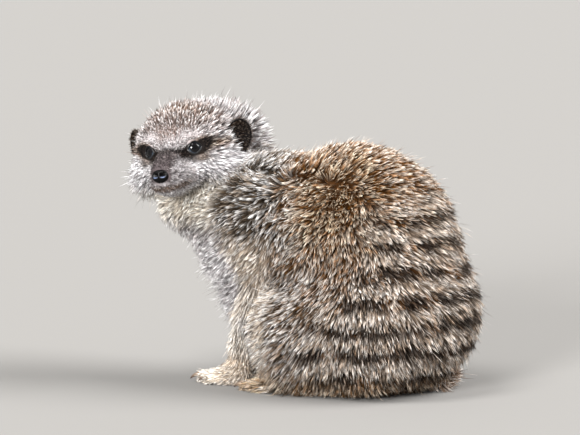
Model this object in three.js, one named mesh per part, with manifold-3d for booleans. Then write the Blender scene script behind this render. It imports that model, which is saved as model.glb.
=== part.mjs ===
// A life-size adult meerkat (Suricata suricatta), sitting hunched, with its head turned over its left shoulder.
// Millimetres. +Z is up, -Y is the way the trunk faces and +X is the animal's left.
// The origin is on the floor, in the middle of the flat under the rump: the masses are laid out from a point
// ahead of it, and the whole group is moved back at the end. Every surface is the outside of the coat.

import * as THREE from "three";
import { mergeVertices } from "three/addons/utils/BufferGeometryUtils.js";
import Module from "manifold-3d";

const wasm = await Module();
wasm.setup();

const vec = (x, y, z) => new THREE.Vector3(x, y, z);
const { degToRad, lerp, clamp } = THREE.MathUtils;

// ---------- driving dimensions ----------

const GAP = 0.34; // clearance between neighbours
const SIDES = [["left", 1], ["right", -1]];

const BACK_TOP = 138; // highest point of the arched back
const RUMP_AT = vec(0, 23, 45);
const SHOULDER_FRONT = 43; // middle of the shoulders ahead of the origin
const HIP_OUT = 30; // middle of each haunch from the mid-plane
const NAPE = vec(5.5, -79.5, 116); // a point on the cut between head and neck
const NAPE_OUT = vec(0.2, -0.7, 0.69);
const WITHERS = vec(1, -60, 99); // a point on the cut between neck and trunk
const WITHERS_OUT = vec(0.06, -0.78, 0.62);

const HEAD_AT = vec(11, -95.6, 133.8); // middle of the braincase
const HEAD_TURN = 94.3; // degrees, from straight ahead towards the animal's left
const HEAD_TILT = 8.3; // degrees, the right side of the face a little lower
const EYE_AT = vec(18.1, 11.4, -2.9);
const EYE_R = 5.3;
const NOSE_AT = vec(43.5, 0, -14.5);
const EAR_AT = vec(-4, 30.5, -0.8);
const EAR_SIZE = vec(4.4, 8, 10.8); // half the depth, width and height of the flap

const FORELEG_OUT = 19;
const WRIST_HEIGHT = 17;
const HINDFOOT_OUT = 33;
const TOES = 4;
const CLAW_FORE = 2.7; // how far a claw stands out of its toe
const CLAW_HIND = 2.4;
const TAIL_R = 8.5; // at the root, in its coat
const TAIL_TIP_R = 3.6;

const COAT = { roughness: 0.9, metalness: 0 };
const fawn = new THREE.MeshStandardMaterial({ color: 0xa08a72, ...COAT });
const grizzled = new THREE.MeshStandardMaterial({ color: 0x9c938a, ...COAT });
const pale = new THREE.MeshStandardMaterial({ color: 0xc9baa8, ...COAT });
const dark = new THREE.MeshStandardMaterial({ color: 0x2b2523, ...COAT });
const leather = new THREE.MeshStandardMaterial({ color: 0x231e1e, roughness: 0.35, metalness: 0 });
const eyeball = new THREE.MeshStandardMaterial({ color: 0x14100e, roughness: 0.08, metalness: 0 });
const horn = new THREE.MeshStandardMaterial({ color: 0x3a302a, roughness: 0.5, metalness: 0 });

// ---------- masses: how far a point is outside a rounded form ----------

// An egg-shaped mass, such as the rump or a cheek.
const egg = (centre, radii) => (p) => {
  const q = p.clone().sub(centre).divide(radii);
  const near = q.length();
  return near < 1e-6 ? -Math.min(...radii) : (near * (near - 1)) / q.divide(radii).length();
};

// A rounded bar that changes thickness from one end to the other, such as the neck.
const bar = (from, fromR, to, toR) => (p) => {
  const along = to.clone().sub(from);
  const t = clamp(p.clone().sub(from).dot(along) / along.lengthSq(), 0, 1);
  return p.distanceTo(from.clone().addScaledVector(along, t)) - lerp(fromR, toR, t);
};

// Masses that flow into each other over a fillet of about the given size.
const flowing = (fillet, ...masses) => (p) =>
  masses.map((mass) => mass(p)).reduce((a, b) => {
    const h = Math.max(fillet - Math.abs(a - b), 0);
    return Math.min(a, b) - (h * h) / (4 * fillet);
  });

// A mass with hollows pressed into it.
const hollowed = (fillet, mass, ...hollows) => {
  const left = flowing(fillet, (p) => -mass(p), ...hollows);
  return (p) => -left(p);
};

const bothSides = (make) => SIDES.map(([, side]) => make(side));

// ---------- solids ----------

// A closed geometry as a solid that can be cut and joined.
function solid(geometry) {
  geometry.deleteAttribute("normal");
  geometry.deleteAttribute("uv");
  const merged = mergeVertices(geometry, 1e-4);
  return new wasm.Manifold(new wasm.Mesh({
    numProp: 3,
    vertProperties: new Float32Array(merged.attributes.position.array),
    triVerts: new Uint32Array(merged.index.array),
  }));
}

// The distance at which a ray from inside leaves the masses.
function exit(from, direction, mass, standOff) {
  const outside = (t) => mass(from.clone().addScaledVector(direction, t)) > standOff;
  const stride = 1.5;
  let far = stride;
  while (!outside(far)) far += stride;
  let near = far - stride;
  for (let halving = 0; halving < 16; halving++) {
    const middle = (near + far) / 2;
    if (outside(middle)) far = middle;
    else near = middle;
  }
  return far;
}

// A ball drawn out from its middle until it lies on the masses, or stands off them a little.
function drawnOut(centre, mass, detail, standOff = 0) {
  const ball = new THREE.IcosahedronGeometry(1, detail);
  const points = ball.attributes.position;
  for (let i = 0; i < points.count; i++) {
    const direction = vec(0, 0, 0).fromBufferAttribute(points, i).normalize();
    const at = centre.clone().addScaledVector(direction, exit(centre, direction, mass, standOff));
    points.setXYZ(i, at.x, at.y, at.z);
  }
  return solid(ball);
}

// A closed limb with round ends along a curve. size(t) is its half width and half height.
function limb(curve, size, { sides = 12, rings = 12, from = 0, to = 1, up = vec(0, 0, 1) } = {}) {
  const tube = new THREE.SphereGeometry(1, sides, rings);
  const points = tube.attributes.position;
  const length = curve.getLength() * (to - from);
  for (let i = 0; i < points.count; i++) {
    const share = (1 - Math.cos((Math.PI * Math.floor(i / (sides + 1))) / rings)) / 2;
    const turn = ((i % (sides + 1)) / sides) * 2 * Math.PI;
    const t = lerp(from, to, share);
    const [wide, high] = size(t);
    const round = Math.min(length / 2, (wide + high) / 2);
    const nearEnd = Math.min(1, (Math.min(share, 1 - share) * length) / round);
    const full = Math.sqrt(1 - (1 - nearEnd) ** 2);
    const ahead = curve.getTangentAt(t);
    const out = vec(0, 0, 0).crossVectors(ahead, up).normalize();
    const over = vec(0, 0, 0).crossVectors(out, ahead);
    const at = curve.getPointAt(t)
      .addScaledVector(out, full * wide * Math.cos(turn))
      .addScaledVector(over, full * high * Math.sin(turn));
    points.setXYZ(i, at.x, at.y, at.z);
  }
  return solid(tube);
}

// The biggest of the pieces that a cut leaves.
const largest = (made) => made.decompose().sort((a, b) => b.volume() - a.volume())[0];

// Everything beyond a plane, as a large block.
function beyond(point, outward) {
  const size = 600;
  const block = new THREE.BoxGeometry(size, size, size);
  block.translate(0, 0, size / 2);
  block.applyQuaternion(new THREE.Quaternion().setFromUnitVectors(vec(0, 0, 1), outward.clone().normalize()));
  block.translate(point.x, point.y, point.z);
  return solid(block);
}

function ellipsoid(centre, radii, more = 0, facets = 16) {
  const ball = new THREE.SphereGeometry(1, facets, Math.round(facets * 0.65));
  ball.scale(radii.x + more, radii.y + more, radii.z + more);
  ball.translate(centre.x, centre.y, centre.z);
  return solid(ball);
}

const floor = beyond(vec(0, 0, 0), vec(0, 0, -1));
const line = (...points) => new THREE.CatmullRomCurve3(points, false, "centripetal");
const shifted = (point, direction, distance) =>
  point.clone().addScaledVector(direction.clone().normalize(), distance);

function mesh(name, made, material) {
  const { numProp, vertProperties, triVerts, numVert } = made.getMesh();
  const position = new Float32Array(numVert * 3);
  for (let i = 0; i < numVert; i++) {
    position.set(vertProperties.subarray(i * numProp, i * numProp + 3), i * 3);
  }
  const geometry = new THREE.BufferGeometry();
  geometry.setAttribute("position", new THREE.BufferAttribute(position, 3));
  geometry.setIndex(new THREE.BufferAttribute(triVerts, 1));
  geometry.computeVertexNormals();
  const built = new THREE.Mesh(geometry, material);
  built.name = name;
  return built;
}

// ---------- the head, in its own frame: +X ahead, +Y to its left, +Z up ----------

const headGroup = new THREE.Group();
headGroup.position.copy(HEAD_AT);
headGroup.rotation.set(degToRad(HEAD_TILT), 0, degToRad(HEAD_TURN - 90), "ZYX");
headGroup.updateMatrixWorld(true);
const toBody = headGroup.matrixWorld;
const toHead = toBody.clone().invert();

const mirrored = (at, side) => vec(at.x, side * at.y, at.z);
const skull = flowing(9,
  egg(vec(-4, 0, 0.5), vec(28, 29, 23.5)), // braincase
  egg(vec(12, 0, 3), vec(13.5, 22, 14)), // forehead
  ...bothSides((side) => egg(vec(1, side * 15, -13), vec(20, 18, 16))), // cheeks
  ...bothSides((side) => egg(vec(-3, side * 22, -18.5), vec(15, 18, 13))), // long hair of the cheeks
  egg(vec(-27, 0, -3), vec(21, 40, 25.5))); // ruff behind the ears
const snout = flowing(5,
  bar(vec(16, 0, -3), 9.5, vec(37, 0, -10.5), 6.2), // bridge
  bar(vec(12, 0, -13), 14.5, vec(37, 0, -16), 7.6),
  bar(vec(4, 0, -24), 10.5, vec(31.5, 0, -22.5), 5), // lower jaw
  ...bothSides((side) => bar(vec(20, side * 7, -17), 8.5, vec(36, side * 3, -18.5), 5.4))); // lips
const browRidge = (side) => egg(vec(16, side * 11.5, 4.5), vec(6.5, 8.5, 4.5));
const orbit = (side) => egg(mirrored(EYE_AT, side).add(vec(7.6, side * 2.8, 0)), vec(5.8, 7.2, 5.8));
const headMass = hollowed(3, flowing(7, skull, snout, ...bothSides(browRidge)), ...bothSides(orbit));

// ---------- the body ----------

const bodyMass = flowing(12,
  egg(vec(0, 3, BACK_TOP - 61), vec(46, 63, 61)), // arched back
  bar(vec(0, -SHOULDER_FRONT, 88), 42, vec(1, -53, 52), 25.5), // rib cage, narrower below
  egg(vec(5, -66, 80), vec(26, 25, 27)), // breast
  egg(vec(7, -90, 101), vec(25, 26, 23)), // throat
  bar(vec(-10, -87, 104), 29, vec(0, -46, 85), 41), // neck
  egg(vec(0, -16, 40), vec(32, 36, 34)), // belly
  egg(RUMP_AT, vec(49, 54, 49)),
  ...bothSides((side) => egg(vec(side * HIP_OUT, 14, 36), vec(23, 45, 37))), // thighs
  ...bothSides((side) => egg(vec(side * (HIP_OUT + 3), -14, 22), vec(16, 24, 24))), // folded shins
  ...bothSides((side) => egg(vec(side * (HIP_OUT + 1), -24, 35), vec(15, 27, 24)))); // knees, in long hair
const wholeMass = flowing(7, (p) => headMass(p.clone().applyMatrix4(toHead)), bodyMass);

const TRUNK_MIDDLE = vec(0, 5, 62);
const body = drawnOut(TRUNK_MIDDLE, bodyMass, 7).subtract(floor);
const aroundBody = drawnOut(TRUNK_MIDDLE, bodyMass, 7, GAP);
const group = new THREE.Group();

// The haunches are parted from the trunk by an ellipsoid cut on each side.
const haunchCut = (side, more) => ellipsoid(vec(side * 39, 1, 28), vec(29, 56, 42), more, 18);
let trunk = body.subtract(beyond(WITHERS, WITHERS_OUT));
for (const [name, side] of SIDES) {
  trunk = trunk.subtract(haunchCut(side, GAP));
  group.add(mesh(`haunch_${name}`, body.intersect(haunchCut(side, 0)), fawn));
}
group.add(mesh("trunk", trunk, fawn));

const neck = drawnOut(vec(2.5, -70, 109), wholeMass, 6)
  .intersect(beyond(shifted(WITHERS, WITHERS_OUT, GAP), WITHERS_OUT))
  .subtract(beyond(shifted(NAPE, NAPE_OUT, -GAP), NAPE_OUT));
group.add(mesh("neck", neck, grizzled));

// ---------- legs, feet and claws ----------

// A flat sole with toes fanned in front of it. The inner toes reach farthest.
function foot({ x, heel, knuckles, tip, width, height, toeR, spread, side }) {
  const middle = (heel + knuckles) / 2;
  const sole = line(vec(x, heel, height * 0.88), vec(x, middle, height * 0.84), vec(x, knuckles, toeR * 0.8));
  let made = limb(sole, (t) => [lerp(width * 0.78, width, t), lerp(height, toeR + 1, t)], { sides: 8, rings: 5 });
  const toes = [];
  for (let i = 0; i < TOES; i++) {
    const fan = (2 * i) / (TOES - 1) - 1; // -1 is the inner toe and 1 the outer
    const short = fan > 0 ? 0.55 * fan ** 2 : 0.2 * fan ** 2;
    const start = vec(x + side * fan * spread * 0.72, knuckles + 3, toeR * 0.9);
    const end = vec(x + side * fan * spread, lerp(tip, knuckles, short), toeR * 0.55);
    const arch = start.clone().lerp(end, 0.5).add(vec(0, 0, 1));
    const radius = (t) => Array(2).fill(toeR * lerp(1, 0.8, t));
    made = made.add(limb(line(start, arch, end), radius, { sides: 6, rings: 3 }));
    toes.push({ end, heading: end.clone().sub(start).setZ(0).normalize() });
  }
  return { made, toes };
}

// A claw curves forward and down from inside the toe to a point just above the floor.
function claw({ end, heading }, toeR, length, more = 0) {
  const root = shifted(end, heading, -toeR * 0.2).setZ(toeR * 1.05);
  const tip = shifted(end, heading, toeR * 0.75 + length).setZ(0.6);
  const bend = root.clone().lerp(tip, 0.55).setZ(root.z + length * 0.16);
  const radius = (t) => [lerp(1.25, 0.55, t) + more, lerp(1.55, 0.55, t) + more];
  return limb(new THREE.QuadraticBezierCurve3(root, bend, tip), radius, { sides: 5, rings: 4 });
}

function clawed(made, toes, toeR, length, name) {
  toes.forEach((toe, i) => {
    made = made.subtract(claw(toe, toeR, length, GAP));
    group.add(mesh(`${name}_${i + 1}`, claw(toe, toeR, length), horn));
  });
  return made;
}

for (const [name, side] of SIDES) {
  const hind = foot({
    side, x: side * HINDFOOT_OUT, heel: 9, knuckles: -36, tip: -51, width: 8, height: 7.5, toeR: 3.4, spread: 6.6,
  });
  const hindFoot = clawed(hind.made.subtract(floor), hind.toes, 3.4, CLAW_HIND, `claw_hind_${name}`);
  group.add(mesh(`hind_foot_${name}`, hindFoot.subtract(aroundBody), pale));

  const x = side * FORELEG_OUT;
  const arm = limb(
    line(vec(x, -34, 92), vec(x * 1.35, -42, 68), vec(x * 1.3, -50, 42), vec(x, -57, 22), vec(x, -61, 6)),
    (t) => [lerp(15, 6.6, t ** 0.7), lerp(15, 6.8, t ** 0.7)], { sides: 9, rings: 11, up: vec(0, 1, 0) });
  const fore = foot({
    side, x, heel: -60, knuckles: -69, tip: -84, width: 8.8, height: 9.5, toeR: 4.3, spread: 6.4,
  });
  const leg = largest(fore.made.add(arm).subtract(floor).subtract(aroundBody));
  const wrist = beyond(vec(0, 0, WRIST_HEIGHT), vec(0, 0, 1));
  const foreleg = leg.intersect(beyond(vec(0, 0, WRIST_HEIGHT + GAP), vec(0, 0, 1)));
  group.add(mesh(`foreleg_${name}`, foreleg, pale));
  const forepaw = clawed(leg.subtract(wrist), fore.toes, 4.3, CLAW_FORE, `claw_fore_${name}`);
  group.add(mesh(`forepaw_${name}`, forepaw, pale));
}

// ---------- tail, laid on the floor round the right flank, in three lengths ----------

const tailLine = line(
  vec(-6, 48, 7.2), vec(-32, 44, 6.6), vec(-54, 22, 5.9), vec(-65, -12, 5), vec(-64, -46, 4.1), vec(-54, -74, 3.1));
const tailSize = (t) => Array(2).fill(lerp(TAIL_R, TAIL_TIP_R, t ** 1.2));
const tail = largest(limb(tailLine, tailSize, { sides: 9, rings: 20 }).subtract(floor).subtract(aroundBody));
const tailCut = (t, more) => {
  const ahead = tailLine.getTangentAt(t);
  return beyond(shifted(tailLine.getPointAt(t), ahead, more), ahead);
};
const TAIL_CUTS = [0.4, 0.75];
group.add(mesh("tail_root", tail.subtract(tailCut(TAIL_CUTS[0], 0)), fawn));
group.add(mesh("tail_middle",
  tail.intersect(tailCut(TAIL_CUTS[0], GAP)).subtract(tailCut(TAIL_CUTS[1], 0)), fawn));
group.add(mesh("tail_tip", tail.intersect(tailCut(TAIL_CUTS[1], GAP)), dark));

// ---------- head parts ----------

const HEAD_MIDDLE = vec(0, 0, -4);
const wholeFromHead = (p) => wholeMass(p.clone().applyMatrix4(toBody));
const aroundHead = drawnOut(HEAD_MIDDLE, wholeFromHead, 8, GAP);
const nose = (more) => ellipsoid(NOSE_AT, vec(3.6, 4.9, 3.9), more, 12);
const eye = (side, more) => ellipsoid(mirrored(EYE_AT, side), vec(EYE_R, EYE_R, EYE_R), more, 12);

// An ear is a small upright bowl that opens forwards and outwards, low on the side of the head.
function ear(side) {
  const placed = (geometry) => geometry
    .rotateX(degToRad(-side * 10))
    .rotateZ(degToRad(side * 35))
    .translate(EAR_AT.x, side * EAR_AT.y, EAR_AT.z);
  const { x, y, z } = EAR_SIZE;
  const shell = new THREE.SphereGeometry(1, 12, 10).scale(x, y, z);
  const hollow = new THREE.SphereGeometry(1, 10, 8).scale(x * 0.9, y * 0.76, z * 0.82).translate(x * 0.75, 0, 0);
  return solid(placed(shell)).subtract(solid(placed(hollow))).subtract(aroundHead);
}

let head = drawnOut(HEAD_MIDDLE, wholeFromHead, 8)
  .intersect(beyond(NAPE.clone().applyMatrix4(toHead), NAPE_OUT.clone().transformDirection(toHead)))
  .subtract(nose(GAP));
for (const [name, side] of SIDES) {
  head = head.subtract(eye(side, GAP));
  headGroup.add(mesh(`eye_${name}`, eye(side, 0), eyeball));
  headGroup.add(mesh(`ear_${name}`, ear(side), dark));
}
headGroup.add(mesh("nose", nose(0), leather));
headGroup.add(mesh("head", head, grizzled));
group.add(headGroup);

group.position.y = -RUMP_AT.y;

export default group;
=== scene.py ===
import math
from collections import namedtuple

import bmesh
import bpy
import numpy as np
from bpy.props import FloatProperty, FloatVectorProperty, IntProperty, PointerProperty, StringProperty
from mathutils import Matrix, Vector, kdtree


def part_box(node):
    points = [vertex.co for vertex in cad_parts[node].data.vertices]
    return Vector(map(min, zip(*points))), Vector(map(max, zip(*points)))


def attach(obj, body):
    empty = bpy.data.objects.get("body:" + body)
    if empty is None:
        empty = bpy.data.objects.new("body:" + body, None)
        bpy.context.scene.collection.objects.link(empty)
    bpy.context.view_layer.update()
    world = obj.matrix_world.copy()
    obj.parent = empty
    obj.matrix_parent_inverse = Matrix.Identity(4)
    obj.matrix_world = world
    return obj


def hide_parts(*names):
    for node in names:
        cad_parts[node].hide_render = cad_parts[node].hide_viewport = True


bl_info = {
    "name": "Meerkat Coat and Skin",
    "version": (1, 0, 0),
    "blender": (4, 5, 0),
    "location": "View3D > Sidebar > Meerkat",
    "description": "Skin, coat, face, claws and stage of a sitting meerkat",
    "category": "Object",
}

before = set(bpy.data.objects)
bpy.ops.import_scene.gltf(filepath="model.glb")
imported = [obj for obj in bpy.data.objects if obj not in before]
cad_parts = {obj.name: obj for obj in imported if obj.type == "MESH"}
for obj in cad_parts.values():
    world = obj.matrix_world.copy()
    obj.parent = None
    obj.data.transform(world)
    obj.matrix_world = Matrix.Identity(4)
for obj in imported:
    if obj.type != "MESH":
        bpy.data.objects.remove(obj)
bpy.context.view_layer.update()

MM = 0.001
SIDES = (("left", 1), ("right", -1))
SEAT_BACK = 23.0  # mm from the point that the masses are laid out from to the seat
HEAD_TURN = math.radians(4.3)
HEAD_TILT = math.radians(8.3)
EYE_R = 5.3  # mm
NOSE_RADII = np.array([3.6, 4.9, 3.9])


def linear(code):
    """An sRGB hex colour as linear red, green and blue."""
    parts = [int(code[i:i + 2], 16) / 255 for i in (0, 2, 4)]
    return [c / 12.92 if c <= 0.04045 else ((c + 0.055) / 1.055) ** 2.4 for c in parts]


# ---------- sizes and colours that a user may change ----------

# Each zone of the coat: its colour at the roots, halfway, at a light tip and at a dark tip.
ZONES = {
    "back": ("281404", "8c5816", "fff3e4", "261303"),
    "flank": ("261505", "8a5a20", "fff8f0", "201104"),
    "grey": ("0e0906", "816c54", "ffffff", "100b07"),
    "cream": ("8c7a68", "eee2d2", "fffefc", "bcaa98"),
    "white": ("40342e", "b9b0b0", "ffffff", "5c504a"),
    "cheek": ("b6b0b1", "eae7ea", "ffffff", "bdb6b6"),
    "crown": ("2c1c12", "7e6456", "fbf4f2", "33221a"),
    "muzzle": ("1a1414", "403738", "a89c9a", "1f1818"),
    "black": ("060404", "16110f", "5a4d45", "060404"),
    "rust": ("281402", "86520f", "fae4c2", "261303"),
    "band": ("0a0603", "1c120b", "32231a", "0c0704"),
    "paw": ("b3a08b", "ecdcc8", "ffffff", "ccbaa6"),
    "ochre": ("3a2818", "8e6a44", "eed8ba", "3a2818"),
    "throat": ("aca192", "ebe2d4", "fffdf8", "c2b6a6"),
}
ZONE_NAMES = list(ZONES)


def colour(name, description, code):
    """A colour that a user may change."""
    return FloatVectorProperty(
        name=name, description=description, subtype="COLOR", size=3, min=0, max=1, default=linear(code))


def length(name, description, mm):
    """A length that a user may change, given in mm and kept in metres."""
    return FloatProperty(
        name=name, description=description, subtype="DISTANCE", unit="LENGTH", min=0, default=mm * MM)


class MeerkatColours(bpy.types.PropertyGroup):
    """The colours of the coat's zones and of the bare parts."""

    lids: colour("Lids", "Bare rims of the eyes", "0d0b0b")
    lips: colour("Lips", "Line of the mouth", "33251f")
    pupil: colour("Pupil", "Middle of the eye", "020203")
    iris: colour("Iris", "Ring round the pupil", "0f0d0e")
    # painted reflection: the limbus is given the grey-blue of the sky mirrored in the eye's wet rim
    limbus_sky_reflection: colour("Limbus", "Grey-blue edge of the eye", "46525f")
    nose: colour("Nose", "Leather of the nose", "070606")
    # painted highlight: the blue-grey light that the moist lower edge of a nostril catches
    nostril_highlight: colour("Nostril rim", "Moist blue-grey lower edge of a nostril", "5d6880")
    claw_root: colour("Claw root", "Horn where it leaves the toe", "7a6857")
    claw_tip: colour("Claw tip", "Horn at the point", "3a2e27")
    whisker: colour("Whisker", "Stiff hairs of the face", "14100e")


for zone_name, codes in ZONES.items():
    for part_name, code in zip(("roots", "middle", "light", "dark"), codes):
        MeerkatColours.__annotations__[f"{zone_name}_{part_name}"] = colour(
            f"{zone_name} {part_name}".capitalize(), f"Coat of the {zone_name} zone: {part_name}", code)


class MeerkatSizes(bpy.types.PropertyGroup):
    """The sizes of the skin, the coat and the fine parts."""

    body_depth: length("Body coat depth", "From the skin of the trunk to the outside of its coat", 5.8)
    skin_grain: length("Skin grain", "Side of the skin's faces on the body", 1.6)
    body_width: length("Tuft width", "Widest part of a tuft on the body", 0.40)
    face_width: length("Face tuft width", "Widest part of a tuft on the face", 0.40)
    whisker_width: length("Whisker width", "Width at the root", 0.22)
    claw_width: length("Claw width", "Width of a claw at the root", 2.3)
    coat_share: FloatProperty(
        name="Coat share", description="Share of the full number of tufts", default=1, min=0.05, max=1)
    seed: IntProperty(name="Seed", description="Start of the random draws", default=7, min=0)


class MeerkatStage(bpy.types.PropertyGroup):
    """The floor, the light and the camera."""

    floor: colour("Floor", "Plain pale floor", "757370")
    world: colour("Surroundings", "Soft light from all round", "d6d5d4")
    fill: FloatProperty(name="Fill", description="Strength of the light from all round", default=0.95, min=0)
    key: FloatProperty(name="Key", description="Strength of the main light", default=2.9, min=0)
    lens: FloatProperty(name="Lens", description="Focal length in mm on a 36 mm sensor", default=335, min=20)
    distance: length("Distance", "Camera from the middle of its view", 3000)
    azimuth: FloatProperty(name="Azimuth", description="Camera round the animal", default=math.radians(115),
                           subtype="ANGLE", unit="ROTATION")
    elevation: FloatProperty(name="Elevation", description="Camera above the level", default=math.radians(8),
                             subtype="ANGLE", unit="ROTATION")


# ---------- masses, in mm: how far points are outside a rounded form ----------

def at(x, y, z):
    """A point in mm, given from the point that the masses are laid out from."""
    return np.array([x, y - SEAT_BACK, z], float)


def norm(v):
    """The lengths of vectors."""
    return np.sqrt(np.einsum("...i,...i->...", v, v))


def unit(v):
    """Vectors of length one."""
    return v / np.maximum(norm(v), 1e-9)[..., None]


def smooth(low, high, v):
    """A soft step from 0 at the first level to 1 at the second."""
    t = np.clip((v - low) / (high - low), 0, 1)
    return t * t * (3 - 2 * t)


def egg(centre, radii):
    """An ellipsoid."""
    centre, radii = np.asarray(centre, float), np.asarray(radii, float)

    def distance(p):
        q = (p - centre) / radii
        near = np.maximum(norm(q), 1e-6)
        return near * (near - 1) / np.maximum(norm(q / radii), 1e-9)
    return distance


def bar(start, start_r, end, end_r):
    """A rod with round ends that may taper."""
    start, along = np.asarray(start, float), np.asarray(end, float) - start

    def distance(p):
        t = np.clip((p - start) @ along / (along @ along), 0, 1)
        return norm(p - start - t[:, None] * along) - (start_r + (end_r - start_r) * t)
    return distance


def flowing(fillet, *masses):
    """Masses that flow into each other over a fillet of about the given size."""
    def distance(p):
        total = masses[0](p)
        for mass in masses[1:]:
            other = mass(p)
            h = np.maximum(fillet - np.abs(total - other), 0)
            total = np.minimum(total, other) - h * h / (4 * fillet)
        return total
    return distance


def hollowed(fillet, mass, *hollows):
    """A mass with hollows pressed into it."""
    left = flowing(fillet, lambda p: -mass(p), *hollows)
    return lambda p: -left(p)


def nearby(form, low, high, margin=14.0):
    """A form that is only worked out near its own box. Farther off, the distance to that box stands in."""
    low, high = np.asarray(low, float) - margin, np.asarray(high, float) + margin

    def distance(p):
        far = norm(np.maximum(np.maximum(low - p, p - high), 0))
        close = far == 0
        total = far + margin
        if close.any():
            total[close] = form(p[close])
        return total
    return distance


def both(make):
    """The same mass on the left and on the right."""
    return [make(side) for _, side in SIDES]


def chain(fillet, points, radii):
    """Rods from each point to the next."""
    return flowing(fillet, *[bar(points[i], radii[i], points[i + 1], radii[i + 1])
                             for i in range(len(points) - 1)])


def turned(turn, tilt):
    """Axes that are tilted about X and then turned about Z, as columns."""
    ct, st, cr, sr = math.cos(turn), math.sin(turn), math.cos(tilt), math.sin(tilt)
    return np.array([[ct, -st * cr, st * sr], [st, ct * cr, -ct * sr], [0, sr, cr]])


# The head has its own axes: +X ahead, +Y to its left, +Z up.
HEAD_AT = at(11, -95.6, 133.8)
HEAD_AXES = turned(HEAD_TURN, HEAD_TILT)
EYE_AT = np.array([18.1, 11.4, -2.9])
NOSE_AT = np.array([43.5, 0, -14.5])
EAR_AT = np.array([-4, 30.5, -0.8])
EAR_SIZE = np.array([4.4, 8, 10.8])
GAZE = unit(np.array([0.83, 0.50, 0.12]))


def to_head(p):
    """Points in the head's axes."""
    return (p - HEAD_AT) @ HEAD_AXES


def from_head(q):
    """Points out of the head's axes."""
    return q @ HEAD_AXES.T + HEAD_AT


def sided(v, side):
    """A place on the head's left, or its mirror image on the right."""
    return np.asarray(v, float) * [1, side, 1]


def mirrored(q):
    """Points of the head, with its right half laid over its left."""
    return q * [1, 0, 1] + np.abs(q) * [0, 1, 0]


skull = flowing(
    9, egg((-4, 0, 0.5), (28, 29, 23.5)), egg((12, 0, 3), (13.5, 22, 14)),
    *both(lambda side: egg((1, side * 15, -13), (20, 18, 16))),
    *both(lambda side: egg((-3, side * 22, -18.5), (15, 18, 13))),
    egg((-27, 0, -3), (21, 40, 25.5)))
snout = flowing(
    5, bar((16, 0, -3), 9.5, (37, 0, -10.5), 6.2), bar((12, 0, -13), 14.5, (37, 0, -16), 7.6),
    bar((4, 0, -24), 10.5, (31.5, 0, -22.5), 5),
    *both(lambda side: bar((20, side * 7, -17), 8.5, (36, side * 3, -18.5), 5.4)))
brows = both(lambda side: egg((16, side * 11.5, 4.5), (6.5, 8.5, 4.5)))
orbits = both(lambda side: egg(sided(EYE_AT + [7.6, 2.8, 0], side), (5.8, 7.2, 5.8)))
head_form = hollowed(3, flowing(7, skull, snout, *brows), *orbits)

trunk_form = flowing(
    12, egg(at(0, 3, 77), (46, 63, 61)), bar(at(0, -43, 88), 42, at(1, -53, 52), 25.5),
    egg(at(5, -66, 80), (26, 25, 27)), egg(at(7, -90, 101), (25, 26, 23)),
    bar(at(-10, -87, 104), 29, at(0, -46, 85), 41), egg(at(0, -16, 40), (32, 36, 34)),
    egg(at(0, 23, 45), (49, 54, 49)),
    *both(lambda side: egg(at(side * 30, 14, 36), (23, 45, 37))),
    *both(lambda side: egg(at(side * 33, -14, 22), (16, 24, 24))),
    *both(lambda side: egg(at(side * 31, -24, 35), (15, 27, 24))))

body_form = nearby(trunk_form, at(-54, -118, 0), at(54, 79, 139))


def arm(side):
    """A foreleg from the shoulder to the wrist."""
    x = side * 19
    points = [at(x, -34, 92), at(x * 1.35, -42, 68), at(x * 1.3, -50, 42), at(x, -57, 22), at(x, -61, 6)]
    form = chain(3, points, [15, 11.5, 9.3, 7.7, 6.6])
    return nearby(form, at(min(x * 1.35, x) - 15, -68, 0), at(max(x * 1.35, x) + 15, -18, 107))


def foot(x, side, heel, knuckles, tip, width, height, toe_r, spread):
    """A flat sole with four toes fanned in front of it."""
    sole = [bar(at(x + k * 1.6, heel, 0.86 * height), 0.78 * height,
                at(x + k * (width - toe_r - 1), knuckles, toe_r + 0.6), toe_r + 0.8) for k in (-1, 1)]
    toes = []
    for i in range(4):
        fan = 2 * i / 3 - 1
        short = (0.55 if fan > 0 else 0.2) * fan * fan
        start = at(x + side * fan * spread * 0.72, knuckles + 3, toe_r * 0.9)
        end = at(x + side * fan * spread, tip + (knuckles - tip) * short, toe_r * 0.62)
        middle = (start + end) / 2 + [0, 0, 1]
        toes.append(chain(0.6, [start, middle, end], [toe_r * 1.02, toe_r * 0.86, toe_r * 0.84]))
    form = flowing(1.2, flowing(4, *sole), *toes)
    return nearby(form, at(x - 13, tip - 4, 0), at(x + 13, heel + 9, 18))


arms_form = flowing(1, *both(arm))
paws_form = flowing(1, *both(lambda side: foot(side * 19, side, -60, -69, -84, 8.8, 9.5, 4.3, 6.4)))
hind_form = flowing(1, *both(lambda side: foot(side * 33, side, 9, -36, -51, 8, 7.5, 3.4, 6.6)))
TAIL_POINTS = np.array([at(*p) for p in (
    (-6, 48, 7.2), (-20, 47.5, 6.9), (-32, 44, 6.6), (-45, 34.5, 6.2), (-54, 22, 5.9), (-61.5, 5, 5.4),
    (-65, -12, 5), (-66, -29, 4.5), (-64, -46, 4.1), (-60, -60.5, 3.6), (-54, -74, 3.1))])
TAIL_RADII = 8.5 + (3.6 - 8.5) * np.linspace(0, 1, 11) ** 1.2
tail_form = nearby(chain(1, TAIL_POINTS, TAIL_RADII), at(-75, -78, 0), at(0, 57, 16))
placed_head = nearby(lambda p: head_form(to_head(p)), HEAD_AT - 50, HEAD_AT + 50)

FORMS = {"head": placed_head, "body": body_form, "arms": arms_form, "paws": paws_form, "hind": hind_form,
         "tail": tail_form}
FORM_FILLETS = (5, 5, 2.5, 2.5, 2.5)  # mm, where each next form joins those before it
SHARE_REACH = 2.5  # mm over which one form's coat changes to the next one's


def apart(p):
    """How far each point is outside each form, as one column a form."""
    return np.stack([form(p) for form in FORMS.values()], axis=1)


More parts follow.
